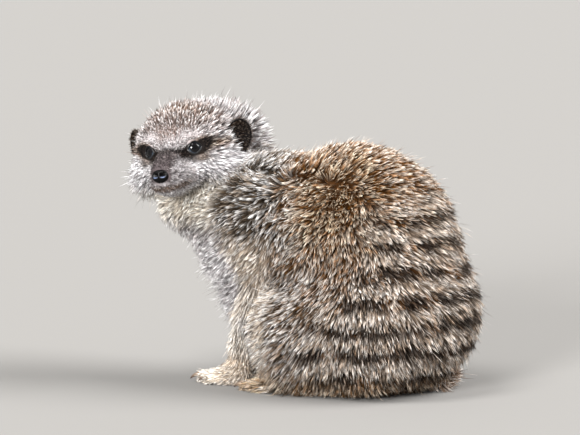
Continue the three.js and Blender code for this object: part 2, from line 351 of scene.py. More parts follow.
def shares_of(near, sharpness):
    """How much of each form a point belongs to, from how far outside each it is."""
    share = np.exp(-(near - near.min(axis=1, keepdims=True)) / sharpness)
    return share / share.sum(axis=1, keepdims=True)


def shares(p, sharpness=SHARE_REACH):
    """How much of each form a point belongs to, as one column a form."""
    return shares_of(apart(p), sharpness)


def joined_forms(near):
    """How far points are outside the whole animal, from how far outside each form they are."""
    total = near[:, 0]
    for i, fillet in enumerate(FORM_FILLETS):
        h = np.maximum(fillet - np.abs(total - near[:, i + 1]), 0)
        total = np.minimum(total, near[:, i + 1]) - h * h / (4 * fillet)
    return total


def tail_place(p):
    """The nearest of the tail's points."""
    return np.argmin((TAIL_POINTS ** 2).sum(axis=1) - 2 * p @ TAIL_POINTS.T, axis=1)


def eye_axes(side):
    """The middle of an eye and the way it looks, outwards across it and up, in the head's axes."""
    ahead = sided(GAZE, side)
    across = np.cross([0, 0, 1.0], ahead) * side
    across /= np.linalg.norm(across)
    up = np.cross(ahead, across) * side
    return sided(EYE_AT, side), ahead, across, up


FOREPAW_COAT, HIND_FOOT_COAT = 1.1, 1.3  # mm
TAIL_COAT = 0.38  # of the tail's radius


def head_depth(q):
    """Depth of the coat on the head: a fraction of a millimetre on the muzzle and long in the ruff."""
    ahead = np.interp(q[:, 0], [-30, -12, 0, 10, 18, 26, 34, 46], [9.5, 7.5, 5.5, 4.2, 2.6, 1.3, 0.6, 0.4])
    cheek = smooth(12, 24, np.abs(q[:, 1])) * smooth(-4, -14, q[:, 2]) * smooth(22, 12, q[:, 0])
    depth = ahead + 2.5 * cheek
    for _, side in SIDES:
        depth = depth * (0.25 + 0.75 * smooth(6, 12, norm(q - sided(EYE_AT, side))))
    return depth


def coat_depth(p, body_depth, near=None):
    """Depth of the coat in mm at points on the animal."""
    near = apart(p) if near is None else near
    even = np.ones(len(p))
    depths = np.stack([
        head_depth(to_head(p)), body_depth * even, np.interp(p[:, 2], [4, 17, 60, 90], [1.2, 2, 4, 6]),
        FOREPAW_COAT * even, HIND_FOOT_COAT * even, TAIL_COAT * TAIL_RADII[tail_place(p)]], axis=1)
    return (shares_of(near, SHARE_REACH) * depths).sum(axis=1)


LID_OVER = 0.75  # mm from the eyeball to the outside of its lids
LID_FILLET = 2.2  # mm
SOLE_UP = 0.9  # mm from the floor to the lowest skin
lid_balls = both(lambda side: egg(sided(EYE_AT, side), [EYE_R + LID_OVER] * 3))


def skin_form(body_depth):
    """The field that is nought on the skin."""
    def lidded(p):
        balls = flowing(1, *lid_balls)(to_head(p))
        near = apart(p)
        f = joined_forms(near) + coat_depth(p, body_depth, near)
        h = np.maximum(LID_FILLET - np.abs(f - balls), 0)
        return np.maximum(np.minimum(f, balls) - h * h / (4 * LID_FILLET), SOLE_UP - p[:, 2])
    return lidded


def slope(form, p, step=0.1):
    """The value and the gradient of a field, from its values at four corners round each point."""
    corners = np.array([[1, 1, 1], [1, -1, -1], [-1, 1, -1], [-1, -1, 1]], float)
    values = [form(p + corner * step) for corner in corners]
    return sum(values) / 4, sum(v[:, None] * corner for v, corner in zip(values, corners)) / (4 * step)


FLATTEST = 0.05  # least squared slope that a step is worked out from
LONGEST_MOVE = 2.0  # mm a round
SETTLED = 0.04  # mm


def settle(form, p, rounds):
    """Points moved onto the nought of a field. A point that hardly moves any more is left where it is."""
    p = p.copy()
    moving = np.arange(len(p))
    for _ in range(rounds):
        value, g = slope(form, p[moving])
        move = (value / np.maximum((g * g).sum(axis=1), FLATTEST))[:, None] * g
        far = norm(move)
        p[moving] -= move * np.minimum(1, LONGEST_MOVE / np.maximum(far, 1e-9))[:, None]
        moving = moving[far > SETTLED]
        if not len(moving):
            break
    return p


# ---------- meshes and materials ----------

def new_piece(name, mesh, slot, *materials):
    """A smooth piece that stands still with the whole animal."""
    piece = bpy.data.objects.new(name, mesh)
    bpy.context.scene.collection.objects.link(piece)
    mesh.polygons.foreach_set("use_smooth", [True] * len(mesh.polygons))
    for material in materials:
        mesh.materials.append(material)
    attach(piece, "root")
    return piece


def mesh_from(bm, name):
    """A mesh with the finished shape."""
    mesh = bpy.data.meshes.new(name)
    bm.to_mesh(mesh)
    bm.free()
    return mesh


def add_part(bm, part):
    """Adds a finished shape to another, and gives its new vertices."""
    start = len(bm.verts)
    mesh = mesh_from(part, "part")
    bm.from_mesh(mesh)
    bpy.data.meshes.remove(mesh)
    bm.verts.ensure_lookup_table()
    return bm.verts[start:]


def ringed_cone(sides, heights):
    """A closed cone from 0 to 1 along Z, with a ring of vertices at each of the heights."""
    bm = bmesh.new()
    bmesh.ops.create_cone(bm, cap_ends=True, segments=sides, radius1=1, radius2=0, depth=1)
    bmesh.ops.translate(bm, verts=bm.verts, vec=(0, 0, 0.5))
    for height in heights:
        bmesh.ops.bisect_plane(bm, geom=bm.verts[:] + bm.edges[:] + bm.faces[:], dist=1e-5,
                               plane_co=(0, 0, height), plane_no=(0, 0, 1))
    bm.verts.ensure_lookup_table()
    return bm


def coords(mesh):
    """The places of a mesh's vertices."""
    flat = np.empty(len(mesh.vertices) * 3)
    mesh.vertices.foreach_get("co", flat)
    return flat.reshape(-1, 3)


def paint(mesh, name, colours):
    """Linear colours kept on the vertices of a mesh."""
    layer = mesh.color_attributes.new(name, "FLOAT_COLOR", "POINT")
    rgba = np.ones((len(colours), 4), np.float32)
    rgba[:, :3] = colours
    layer.data.foreach_set("color", rgba.ravel())


def add_node(tree, kind, settings=None, links=None):
    """Adds a node, gives its sockets and properties their values, and links what leads into it."""
    node = tree.nodes.new(kind)
    for key, value in (settings or {}).items():
        if key in node.inputs:
            node.inputs[key].default_value = value
        else:
            setattr(node, key, value)
    for key, source in (links or {}).items():
        tree.links.new(source, node.inputs[key])
    return node


def new_material(name, **sockets):
    """A material with one Principled shader whose constant values are set on its own sockets."""
    material = bpy.data.materials.new(name)
    material.use_nodes = True
    shader = material.node_tree.nodes["Principled BSDF"]
    for key, value in sockets.items():
        shader.inputs[key.replace("_", " ")].default_value = value
    return material, material.node_tree, shader


def painted_material(name, attribute, **sockets):
    """A material whose colour is kept on the vertices of its piece."""
    material, tree, shader = new_material(name, **sockets)
    shade = add_node(tree, "ShaderNodeAttribute", {"attribute_name": attribute})
    tree.links.new(shade.outputs["Color"], shader.inputs["Base Color"])
    return material, tree, shader


def hair_material(name, attribute, roughness, grain_mm, bump_mm):
    """Hair: keratin, IOR about 1.5, with a soft satin shine that is broken up by the many tips."""
    material, tree, shader = new_material(name, Roughness=roughness, IOR=1.5, Specular_IOR_Level=0.12)
    shade = add_node(tree, "ShaderNodeAttribute", {"attribute_name": attribute})
    place = add_node(tree, "ShaderNodeTexCoord")
    grain = add_node(tree, "ShaderNodeTexNoise",
                     {"Scale": 1 / (grain_mm * MM), "Detail": 3.0, "Roughness": 0.6},
                     {"Vector": place.outputs["Object"]})
    level = add_node(tree, "ShaderNodeMapRange",
                     {"From Min": 0.3, "From Max": 0.7, "To Min": 0.84, "To Max": 1.14},
                     {"Value": grain.outputs["Fac"]})
    mixed = add_node(tree, "ShaderNodeVectorMath", {"operation": "SCALE"},
                     {"Scale": level.outputs["Result"]})
    tree.links.new(shade.outputs["Color"], mixed.inputs[0])
    tree.links.new(mixed.outputs["Vector"], shader.inputs["Base Color"])
    bump = add_node(tree, "ShaderNodeBump", {"Strength": 0.6, "Distance": bump_mm * MM},
                    {"Height": grain.outputs["Fac"]})
    tree.links.new(bump.outputs["Normal"], shader.inputs["Normal"])
    return material


# ---------- markings, the same for the skin and the coat ----------

WHORL = at(44, 6, 114)
MARKING_REACH = 1.2  # mm over which one form's markings change to the next one's
BAND_SPACING = 14.6  # mm from one dark band of the rump to the next
WAVES = 7  # waves that a ripple is made of


def ripple(p, wavelength, seed):
    """Smooth irregular waves between about -1 and 1."""
    draw = np.random.default_rng(seed)
    total = np.zeros(len(p))
    for _ in range(WAVES):
        way = draw.normal(size=3)
        way *= 2 * math.pi / (np.linalg.norm(way) * wavelength * draw.uniform(0.7, 1.5))
        total += np.sin(p @ way + draw.uniform(0, 2 * math.pi))
    return total / 3.2  # brings nearly all of it to between -1 and 1


def over(shares_so_far, zone, amount):
    """Lays a zone over what is there, like paint of that strength."""
    shares_so_far *= (1 - amount)[:, None]
    shares_so_far[:, ZONE_NAMES.index(zone)] += amount


def head_zones(q):
    """The markings of the head, in its own axes."""
    w = np.zeros((len(q), len(ZONE_NAMES)))
    x, y, z = q.T
    side = np.where(y > 0, 1.0, -1.0)
    a = np.abs(y)
    n = ripple(q, 9, 11) * 1.5
    over(w, "white", np.ones(len(q)))
    # grizzled crown with a warmer patch in its middle, and paler brows
    top = smooth(-1, 8, z + n) * smooth(-22, -10, x)
    over(w, "crown", 0.72 * top * smooth(30, 20, a + n))
    patch = np.exp(-((x - 6) / 9) ** 2 - ((y - 4) / 17) ** 2) * smooth(9, 15, z)
    over(w, "back", 0.42 * patch)
    brow = np.exp(-((z - 6.0) / 2.8) ** 2) * smooth(4, 8, a + n) * smooth(27, 20, a + n)
    over(w, "cheek", 0.42 * brow * smooth(4, 12, x))
    # brown behind the outer corner of the eye, and flecks on the cheek
    streak = np.exp(-((z + 3.0 - 0.15 * (a - 16)) / 2.6) ** 2) * smooth(17, 20, a) * smooth(29, 25, a)
    over(w, "back", 0.50 * streak * smooth(-4, 4, x))
    cheek = np.maximum(smooth(9, 16, a + n), smooth(-18, -24, z))
    over(w, "cheek", smooth(-1, -8, z + 0.2 * (a - 20) + n) * cheek * smooth(-14, 0, x))
    fleck = smooth(0.1, 0.7, ripple(q, 4, 5)) * smooth(-12, -16, z) * smooth(26, 18, a) * smooth(4, 12, x)
    over(w, "back", 0.30 * fleck * smooth(-27, -22, z))
    # mauve-grey bridge and sides of the muzzle
    width = np.interp(x, [20, 26, 34, 40], [5.0, 7.0, 7.0, 6.5])
    bridge = smooth(1.2, -0.8, a - width) * smooth(19, 22, x) * smooth(-22, -17, z) * smooth(0.0, -2.0, z)
    over(w, "muzzle", 0.95 * bridge)
    over(w, "black", 0.45 * bridge * smooth(0.1, 0.7, ripple(q, 2.0, 12)))
    side_face = smooth(24, 33, x) * smooth(17, 9, a)
    speck = smooth(0.0, 0.3, ripple(q, 2.6, 6))
    over(w, "cheek", 0.6 * side_face * (1 - bridge))
    over(w, "muzzle", (0.30 + 0.70 * speck) * smooth(-26, -24, z) * side_face * (1 - bridge))
    lip = smooth(24, 30, x) * np.exp(-((z + 22.4 - 0.012 * a * a) / 1.5) ** 2)
    over(w, "back", 0.72 * lip)
    over(w, "muzzle", 0.40 * lip)
    over(w, "cheek", smooth(-23.8, -25.2, z) * smooth(8, 18, x) * smooth(-31.5, -29.5, z))
    # painted shadow: an ochre line along the underside of the jaw, where the chin shades the throat
    over(w, "ochre", 0.75 * np.exp(-((z + 30 - 0.06 * (30 - x)) / 1.9) ** 2) * smooth(8, 14, x))
    over(w, "throat", 0.5 * smooth(-22, -29, z) * smooth(30, 20, x))
    over(w, "throat", 0.9 * smooth(-31.0, -33.5, z))
    # the black mask round each eye, drawn out to a point at its outer corner
    for _, sign in SIDES:
        centre, ahead, across, up = eye_axes(sign)
        d = q - centre
        u, v = d @ across, d @ up
        here = (side == sign) * smooth(-7, -4, d @ ahead)
        half = 4.3 * np.clip(1 - ((u - 1.2) / 10.2) ** 2, 0, 1) ** 0.6
        middle = np.interp(u, [-9, -5, 0, 5, 11.5], [-3.6, -1.6, -0.3, 0.4, 2.4])
        brown = smooth(3.0, 0.5, np.abs(v - middle + 0.8) - half + 0.5 * n) * smooth(-4, 2, u)
        over(w, "ochre", 0.55 * brown * here)
        over(w, "muzzle", 0.25 * brown * here)
        over(w, "black", smooth(0.8, -0.5, np.abs(v - middle) - half + 0.25 * n) * here)
        below = np.exp(-((u - 5.5) / 4.5) ** 2 - ((v + 6.6) / 1.8) ** 2)
        over(w, "ochre", 0.55 * below * here)
        over(w, "muzzle", 0.45 * below * here)
        over(w, "black", 0.30 * below * here)
        over(w, "black", 0.95 * np.exp(-((u + 2.0) / 5.0) ** 2 - ((v + 5.2) / 2.3) ** 2) * here)
    # painted shadow: black under the back edge of each ear, where the ear shades the fur
    over(w, "black", 0.85 * np.exp(-((x + 19) / 4) ** 2 - ((z + 11) / 5) ** 2) * smooth(16, 20, a))
    # painted shade: black along the crease between the inner corners of the eyes
    crease = np.exp(-((z + 1.0 + 0.05 * a * a) / 1.0) ** 2) * smooth(9.5, 7.5, a) * smooth(18, 21, x)
    over(w, "black", 0.95 * crease)
    return w


def whorl_of(p):
    """The middle of the loose whorl on the same flank as each point."""
    return np.where(p[:, :1] > 0, [WHORL], [WHORL * [-1, 1, 1]])


def chest_strip(p):
    """How far each point is inside the pale strip down the middle of the throat and chest."""
    x, y, z = p[:, 0], p[:, 1] + SEAT_BACK, p[:, 2]
    foremost = np.interp(z, [30, 55, 71, 88, 105], [-65.5, -71, -80.5, -94, -108])
    reach = np.interp(z, [40, 75, 105], [8, 12, 27])
    inside = smooth(reach + 4, reach - 3, 0.906 * y - 0.423 * np.abs(x) - foremost + ripple(p, 22, 3))
    return inside * smooth(18, 30, z) * smooth(126, 118, z)


def body_zones(p):
    """The markings of the trunk, the neck and the limbs' roots."""
    w = np.zeros((len(p), len(ZONE_NAMES)))
    y, z = p[:, 1] + SEAT_BACK, p[:, 2]
    n = ripple(p, 22, 3) * 4
    # fawn, greyer low down and in front, with rust round the whorls
    over(w, "back", np.ones(len(p)))
    over(w, "flank", 0.9 * smooth(92, 66, z + n))
    over(w, "rust", 0.8 * np.exp(-(norm(p - whorl_of(p)) / 30) ** 2))
    over(w, "rust", 0.5 * smooth(0.1, 0.8, ripple(p, 24, 9)) * smooth(60, 84, z) * smooth(-40, -10, y))
    over(w, "back", 0.40 * smooth(98, 60, z) * smooth(5, 45, y + n) * smooth(10, 40, z))
    over(w, "grey", 0.6 * smooth(8, -18, y + n) * smooth(78, 62, z + n))
    over(w, "grey", smooth(10, -10, y + 36 - 0.4 * (134 - z) + n) * smooth(68, 90, z + n))
    over(w, "back", 0.25 * smooth(0.1, 0.9, ripple(p, 26, 8)) * smooth(70, 84, z) * smooth(-80, -50, y))
    # cream shoulders and a white chest and throat
    over(w, "cream", 0.9 * smooth(-26, -42, y + n) * smooth(90, 70, z + n))
    over(w, "cream", 0.35 * smooth(-25, -45, y + n) * smooth(92, 74, z + n) * smooth(60, 78, z))
    chest = chest_strip(p)
    over(w, "white", 0.9 * chest)
    over(w, "cheek", (0.20 + 0.40 * smooth(86, 70, z)) * chest)
    over(w, "throat", 0.9 * chest * smooth(80, 96, z))
    over(w, "ochre", 0.6 * smooth(15, 6, z + n * 0.6) * smooth(-48, -38, y))
    q = to_head(p)
    over(w, "throat", 0.75 * smooth(25, 17, norm(q - [14, 0, -22]) + 0.7 * n))
    # dark broken bands across the rump
    wave = z - 0.04 * y + 1.6 * ripple(p, 30, 21) + 0.8 * ripple(p, 9, 22)
    band = smooth(-0.15, 0.5, np.cos(2 * math.pi * (wave - 9.0) / BAND_SPACING))
    broken = smooth(-0.5, 0.1, ripple(p, 16, 23) + 0.25)
    start = np.interp(z, [25, 45, 62, 100], [-8, 4, 26, 32])
    place = smooth(-14, 6, y - start + n) * smooth(118, 94, z + n) * smooth(4, 12, z)
    over(w, "cream", 0.42 * (1 - band) * place)
    over(w, "band", 0.92 * band * broken * place)
    return w


def zones(p):
    """How much of each colour zone there is at each point, as one column a zone."""
    part = dict(zip(FORMS, shares(p, MARKING_REACH).T[:, :, None]))
    height = p[:, 2]
    w = part["head"] * head_zones(to_head(p))
    w += part["body"] * body_zones(p)
    limbs = np.zeros_like(w)
    over(limbs, "cream", np.ones(len(p)))
    over(limbs, "paw", smooth(24, 8, height))
    over(limbs, "ochre", 0.22 * smooth(82, 62, height) * smooth(26, 44, height))
    wrist = smooth(24, 10, height)
    over(limbs, "ochre", 0.42 * wrist * smooth(-76, -58, p[:, 1] + SEAT_BACK))
    over(limbs, "ochre", 0.5 * wrist * smooth(-56, -46, p[:, 1] + SEAT_BACK))
    w += part["arms"] * limbs
    w += part["paws"] * limbs
    hind = np.zeros_like(w)
    over(hind, "paw", np.ones(len(p)))
    over(hind, "ochre", 0.95 * smooth(-1.2, -0.2, ripple(p, 7, 31)))
    w += part["hind"] * hind
    tail = np.zeros_like(w)
    over(tail, "flank", np.ones(len(p)))
    over(tail, "black", smooth(6.5, 8.5, tail_place(p) + 0.4 * ripple(p, 8, 33)))
    w += part["tail"] * tail
    return w


def zone_colours(part_name):
    """One colour a zone for the given part of a tuft."""
    colours = bpy.context.scene.meerkat_colours
    return np.array([getattr(colours, f"{zone}_{part_name}")[:] for zone in ZONE_NAMES])


# ---------- the lie of the coat ----------

def head_lie(q):
    """Hair streams back from the nose, and down on the cheeks."""
    away = unit(q - [47, 0, -11])
    cheek = smooth(8, 18, np.abs(q[:, 1])) * smooth(0, -10, q[:, 2])
    away[:, 2] -= 0.45 * cheek
    away[:, 2] += 0.12 * smooth(-8, 0, q[:, 2]) * smooth(10, 20, q[:, 0])
    return away


def body_lie(p):
    """Hair streams from a loose whorl high on each flank, and backwards along the spine."""
    x, z = p[:, 0], p[:, 2]
    stray = np.stack([ripple(p, 15, 41), ripple(p, 15, 42), ripple(p, 15, 43)], axis=1)
    out = p - whorl_of(p) + 9.0 * stray
    away = out / (norm(out) + 18)[:, None]
    spine = np.exp(-(x / 20) ** 2)[:, None] * smooth(60, 90, z)[:, None]
    lie = away * (1 - 0.7 * spine) + np.array([0, 1, -0.25]) * 0.9 * spine + np.array([0, 0.15, -0.40])
    y = p[:, 1] + SEAT_BACK
    forward = smooth(30, -20, y) * smooth(88, 55, z)
    lie = lie + forward[:, None] * np.array([0, -0.75, 0])
    return lie + 0.16 * stray


LIE_REACH = 2.0  # mm over which the lie changes from one form to the next


def lie_of_coat(p, normal):
    """The unit direction along the skin in which the tufts lie."""
    part = shares(p, LIE_REACH)
    tangent = np.gradient(TAIL_POINTS, axis=0)[tail_place(p)]
    down_arm, along_paw, along_hind = (
        np.tile(way, (len(p), 1)) for way in ([0.0, -0.1, -1.0], [0.0, -1.0, -0.15], [0.0, -1.0, -0.1]))
    ways = [head_lie(to_head(p)) @ HEAD_AXES.T, body_lie(p), down_arm, along_paw, along_hind, tangent]
    lie = sum(part[:, [i]] * unit(way) for i, way in enumerate(ways))
    lie -= (lie * normal).sum(axis=1)[:, None] * normal
    return unit(lie)


# ---------- skin ----------

FLESH = ["head", "neck", "trunk", "tail_root", "tail_middle", "tail_tip"]
for side_name, _ in SIDES:
    FLESH += [f"{part}_{side_name}" for part in ("haunch", "hind_foot", "foreleg", "forepaw", "ear")]


def near_face(p):
    """True where the skin is made finer: round the eyes, the brow and the muzzle."""
    q = to_head(p)
    return (q[:, 0] > 8) & (np.abs(q[:, 1]) < 26) & (q[:, 2] > -31) & (q[:, 2] < 14)


def near_lids(p):
    """True where it is made finer again: at the edges of the lids."""
    q = to_head(p)
    return np.minimum(*[norm(q - sided(EYE_AT + GAZE * 3, side)) for _, side in SIDES]) < 8.5


def finer(mesh, chosen):
    """Cuts the edges of the chosen faces in two."""
    bm = bmesh.new()
    bm.from_mesh(mesh)
    bm.verts.ensure_lookup_table()
    marked = chosen(np.array([v.co for v in bm.verts]) / MM)
    edges = [e for e in bm.edges if marked[e.verts[0].index] and marked[e.verts[1].index]]
    bmesh.ops.subdivide_edges(bm, edges=edges, cuts=1, use_grid_fill=True)
    bmesh.ops.triangulate(bm, faces=[f for f in bm.faces if len(f.verts) > 4])
    bm.to_mesh(mesh)
    bm.free()


LID_WIDE = math.radians(46)
LID_HIGH = math.radians(40)
LID_LOW = math.radians(38)
LID_TILT = 0.10  # the outer corner of an eye sits a little higher


def opening(turns):
    """The almond between the lids: how far it reaches across and up, in radians, at each turn round it."""
    across = LID_WIDE * np.cos(turns)
    high = np.where(np.sin(turns) > 0, LID_HIGH, LID_LOW)
    return across, high * np.sin(turns) * (1 - 0.35 * np.cos(turns) ** 2)


def on_ball(side, across_angle, up_angle, radius):
    """Points at the given angles and distance from an eye's middle, in the head's axes."""
    centre, ahead, across, up = eye_axes(side)
    a, b = across_angle[:, None], (up_angle + LID_TILT * across_angle)[:, None]
    way = np.cos(a) * np.cos(b) * ahead + np.sin(a) * across + np.cos(a) * np.sin(b) * up
    return centre + unit(way) * radius


MOUTH = [np.array(p, float) for p in (
    (41.5, 0, -21.6), (38.5, 3.5, -22.4), (33, 9, -22.9), (27.5, 13.5, -21.5), (23.5, 16.5, -19.2))]
BROW_CREASE = [np.array(p, float) for p in ((25, 0, -0.8), (24, 4, -1.8), (22, 7, -4.2))]


def groove(q, points, half_width):
    """How close points are to a line, from 0 to 1, over its half width."""
    best = np.full(len(q), 1e9)
    for start, end in zip(points[:-1], points[1:]):
        best = np.minimum(best, bar(start, 0, end, 0)(q))
    return np.exp(-(best / half_width) ** 2)


BEHIND_EYE = 0.7  # mm from an eyeball's surface in to the skin that it sits on


def face_detail(p, normal):
    """Presses the eyes' openings, the line of the mouth and the brow's crease into the skin."""
    q = to_head(p)
    left = mirrored(q)
    push = -1.3 * groove(left, MOUTH, 0.75) * smooth(20, 24, q[:, 0])
    push -= 0.5 * groove(left, [np.array([46, 0, -16.0]), MOUTH[0]], 0.5)
    push -= 0.55 * groove(left, BROW_CREASE, 0.7)
    push += 0.35 * groove(left, [c + [-0.6, 0, 1.6] for c in BROW_CREASE], 1.0)
    out = p + normal * push[:, None]
    q = to_head(out)
    for _, side in SIDES:
        centre, ahead, across, up = eye_axes(side)
        d = q - centre
        a = np.arctan2(d @ across, np.hypot(d @ ahead, d @ up))
        b = np.arctan2(d @ up, d @ ahead) - a * LID_TILT
        edge_a, edge_b = opening(np.arctan2(b / LID_HIGH, a / LID_WIDE))
        inside = np.hypot(a, b) / np.maximum(np.hypot(edge_a, edge_b), 1e-6)
        within = (inside < 1.0) & (norm(d) < EYE_R + 4) & (d @ ahead > 0)
        q[within] = centre + unit(d[within]) * (EYE_R - BEHIND_EYE)
    return from_head(q)


EAR_AXES = turned(math.radians(35), math.radians(-10))
EAR_INSIDE = 0.93  # of the outer size of the ear, so that the rest is coat


def ear_bowl(side):
    """An upright D-shaped flap that is hollow in front, with a rolled rim and a ridge inside."""
    bm = bmesh.new()
    bmesh.ops.create_uvsphere(bm, u_segments=40, v_segments=28, radius=1)
    for v in bm.verts:
        x, y, z = v.co
        rho = min(1.0, math.hypot(y, z))
        flat = 1 - 0.14 * max(0.0, -z) - 0.05 * max(0, y)
        if x > 0:
            ridge = 0.16 * math.exp(-((rho - 0.55) / 0.12) ** 2) * max(0.0, -z + 0.3)
            hollow = (1 - rho ** 2) ** 0.7
            x = 0.34 * math.exp(-((rho - 0.93) / 0.08) ** 2) - 0.40 * hollow + ridge
        p = EAR_AXES @ (np.array([x, y * flat, z]) * EAR_SIZE * EAR_INSIDE)
        v.co = Vector(from_head(sided(p + EAR_AT, side))) * MM
    if side < 0:
        bmesh.ops.reverse_faces(bm, faces=bm.faces)
    return bm


RIM_STEPS, RIM_SIDES = 56, 8
RIM_OUT, RIM_BESIDE = 0.52, 0.62  # mm, half its height off the eye and half its width
RIM_UP = 0.3  # mm from the eyeball to the middle of the rim


def lid_rim(side):
    """A moist rounded rim along the edges of both lids."""
    bm = bmesh.new()
    bmesh.ops.create_circle(bm, segments=RIM_SIDES, radius=0.5)
    bmesh.ops.rotate(bm, verts=bm.verts, cent=(0, 0, 0), matrix=Matrix.Rotation(math.pi / 2, 3, "X"))
    bmesh.ops.translate(bm, verts=bm.verts, vec=(1, 0, 0))
    bmesh.ops.spin(bm, geom=bm.verts[:] + bm.edges[:], cent=(0, 0, 0), axis=(0, 0, 1), steps=RIM_STEPS,
                   angle=2 * math.pi, use_merge=True)
    turns = np.linspace(0, 2 * math.pi, RIM_STEPS, endpoint=False)
    line = from_head(on_ball(side, *opening(turns), EYE_R + RIM_UP))
    ahead = np.roll(line, -1, axis=0) - np.roll(line, 1, axis=0)
    out = unit(line - from_head(sided(EYE_AT, side)))
    beside = unit(np.cross(out, ahead))
    for v in bm.verts:
        i = round(math.atan2(v.co.y, v.co.x) / (2 * math.pi) * RIM_STEPS) % RIM_STEPS
        angle = math.atan2(v.co.z, math.hypot(v.co.x, v.co.y) - 1)
        co = line[i] + RIM_OUT * math.cos(angle) * out[i] + RIM_BESIDE * math.sin(angle) * beside[i]
        v.co = Vector(co) * MM
    bm.normal_update()
    bmesh.ops.recalc_face_normals(bm, faces=bm.faces)
    return bm


SKIN, EAR, LID = range(3)  # the kinds of surface on the skin


class MEERKAT_OT_skin(bpy.types.Operator):
    """Make one skin for all the flesh, inside the solids by the coat's depth"""

    bl_idname = "meerkat.skin"
    bl_label = "Skin"

    def execute(self, context):
        sizes = context.scene.meerkat_sizes
        bm = bmesh.new()
        for name in FLESH + ["eye_left", "eye_right", "nose"]:
            if not name.startswith("ear"):
                bm.from_mesh(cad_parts[name].data)
        bmesh.ops.remove_doubles(bm, verts=bm.verts, dist=1e-6)
        rough = bpy.data.objects.new("rough_skin", mesh_from(bm, "rough_skin"))
        context.scene.collection.objects.link(rough)
        remesh = rough.modifiers.new("Remesh", "REMESH")
        remesh.mode = "VOXEL"
        remesh.voxel_size = sizes.skin_grain
        mesh = bpy.data.meshes.new_from_object(rough.evaluated_get(context.evaluated_depsgraph_get()))
        bpy.data.objects.remove(rough)
        keep_largest(mesh)
        form = skin_form(sizes.body_depth / MM)
        p = settle(form, coords(mesh) / MM, 8)
        p = settle(form, relaxed(mesh, p, 4), 2)
        mesh.vertices.foreach_set("co", (p * MM).ravel())
        for chosen in (near_face, near_lids):
            finer(mesh, chosen)
            p = coords(mesh) / MM
            inside = chosen(p)
            p[inside] = settle(form, relaxed(mesh, p, 3)[inside], 4)
            mesh.vertices.foreach_set("co", (p * MM).ravel())
        inside = near_face(p)
        p[inside] = face_detail(p[inside], unit(slope(form, p[inside])[1]))
        mesh.vertices.foreach_set("co", (p * MM).ravel())
        mesh.update()
        bm = bmesh.new()
        bm.from_mesh(mesh)
        bmesh.ops.triangulate(bm, faces=bm.faces)
        marks = bm.verts.layers.int.new("kind")
        for kind, maker in ((EAR, ear_bowl), (LID, lid_rim)):
            for _, side in SIDES:
                part = maker(side)
                bmesh.ops.triangulate(part, faces=part.faces)
                for v in add_part(bm, part):
                    v[marks] = kind
        for face in bm.faces:
            face.material_index = 1 if face.verts[0][marks] == LID else 0
        mesh = mesh_from(bm, "skin")
        skin = new_piece("skin", mesh, "coat_fawn", skin_material(), lid_material())
        self.paint_markings(mesh)
        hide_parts(*FLESH)
        KNOWN_ROOTS.clear()
        return {"FINISHED"}

    def paint_markings(self, mesh):
        """Colours the skin by its markings: dark under deep coat, where its roots' colour is darkened further
        as painted shade of the coat over it, and as bare skin where it is thin.
        """
        p = coords(mesh) / MM
        kind = kinds(mesh)
        w = zones(p)
        w[kind == EAR] = 0
        w[kind == EAR, ZONE_NAMES.index("black")] = 1
        thin = smooth(3.0, 0.8, coat_depth(p, bpy.context.scene.meerkat_sizes.body_depth / MM))[:, None]
        # painted shade: under deep coat the skin takes its roots' colour, darkened, as the coat shades it
        dark = w @ (0.7 * zone_colours("roots") + 0.08 * zone_colours("middle"))
        bare = w @ zone_colours("middle") * 0.9
        shade = dark * (1 - thin) + bare * thin
        q = to_head(p)
        mouth = 0.75 * (groove(mirrored(q), MOUTH, 1.3) * smooth(20, 24, q[:, 0]))[:, None]
        lips = np.array(bpy.context.scene.meerkat_colours.lips[:])
        shade = shade * (1 - mouth) + lips * mouth
        paint(mesh, "Markings", shade)


def kinds(mesh):
    """The kind of surface at each vertex of the skin."""
    kind = np.empty(len(mesh.vertices), np.int32)
    mesh.attributes["kind"].data.foreach_get("value", kind)
    return kind


def keep_largest(mesh):
    """Removes the small islands that the remesh may leave inside."""
    bm = bmesh.new()
    bm.from_mesh(mesh)
    left, islands = set(bm.verts), []
    while left:
        stack, island = [left.pop()], []
        while stack:
            v = stack.pop()
            island.append(v)
            for e in v.link_edges:
                other = e.other_vert(v)
                if other in left:
                    left.remove(other)
                    stack.append(other)
        islands.append(island)
    islands.sort(key=len)
    for island in islands[:-1]:
        bmesh.ops.delete(bm, geom=island, context="VERTS")
    bm.to_mesh(mesh)
    bm.free()


def relaxed(mesh, p, rounds):
    """Points of a mesh, moved towards the middles of their neighbours."""
    pairs = np.empty(len(mesh.edges) * 2, np.int64)
    mesh.edges.foreach_get("vertices", pairs)
    a, b = pairs.reshape(-1, 2).T
    count = np.bincount(pairs, minlength=len(p))[:, None]
    for _ in range(rounds):
        total = np.stack([np.bincount(a, p[b, k], len(p)) + np.bincount(b, p[a, k], len(p))
                          for k in range(3)], axis=1)
        p = 0.5 * p + 0.5 * total / np.maximum(count, 1)
    return p


def skin_material():
    """Skin under the coat: dull, and shaded by the short downy hair that covers it."""
    return hair_material("downy_skin", "Markings", 0.8, 0.7, 0.25)


def lid_material():
    """Bare black lids, kept moist by the eye, so they have a soft wet edge of light."""
    lids = bpy.context.scene.meerkat_colours.lids
    return new_material(
        "moist_lid", Base_Color=(*lids, 1), Roughness=0.32, IOR=1.4, Specular_IOR_Level=0.5)[0]


# ---------- coat ----------

WIDEST_AT = 0.68  # of a tuft's length, where its one ring of vertices is
ROOT_WIDTH = 0.7  # of the widest


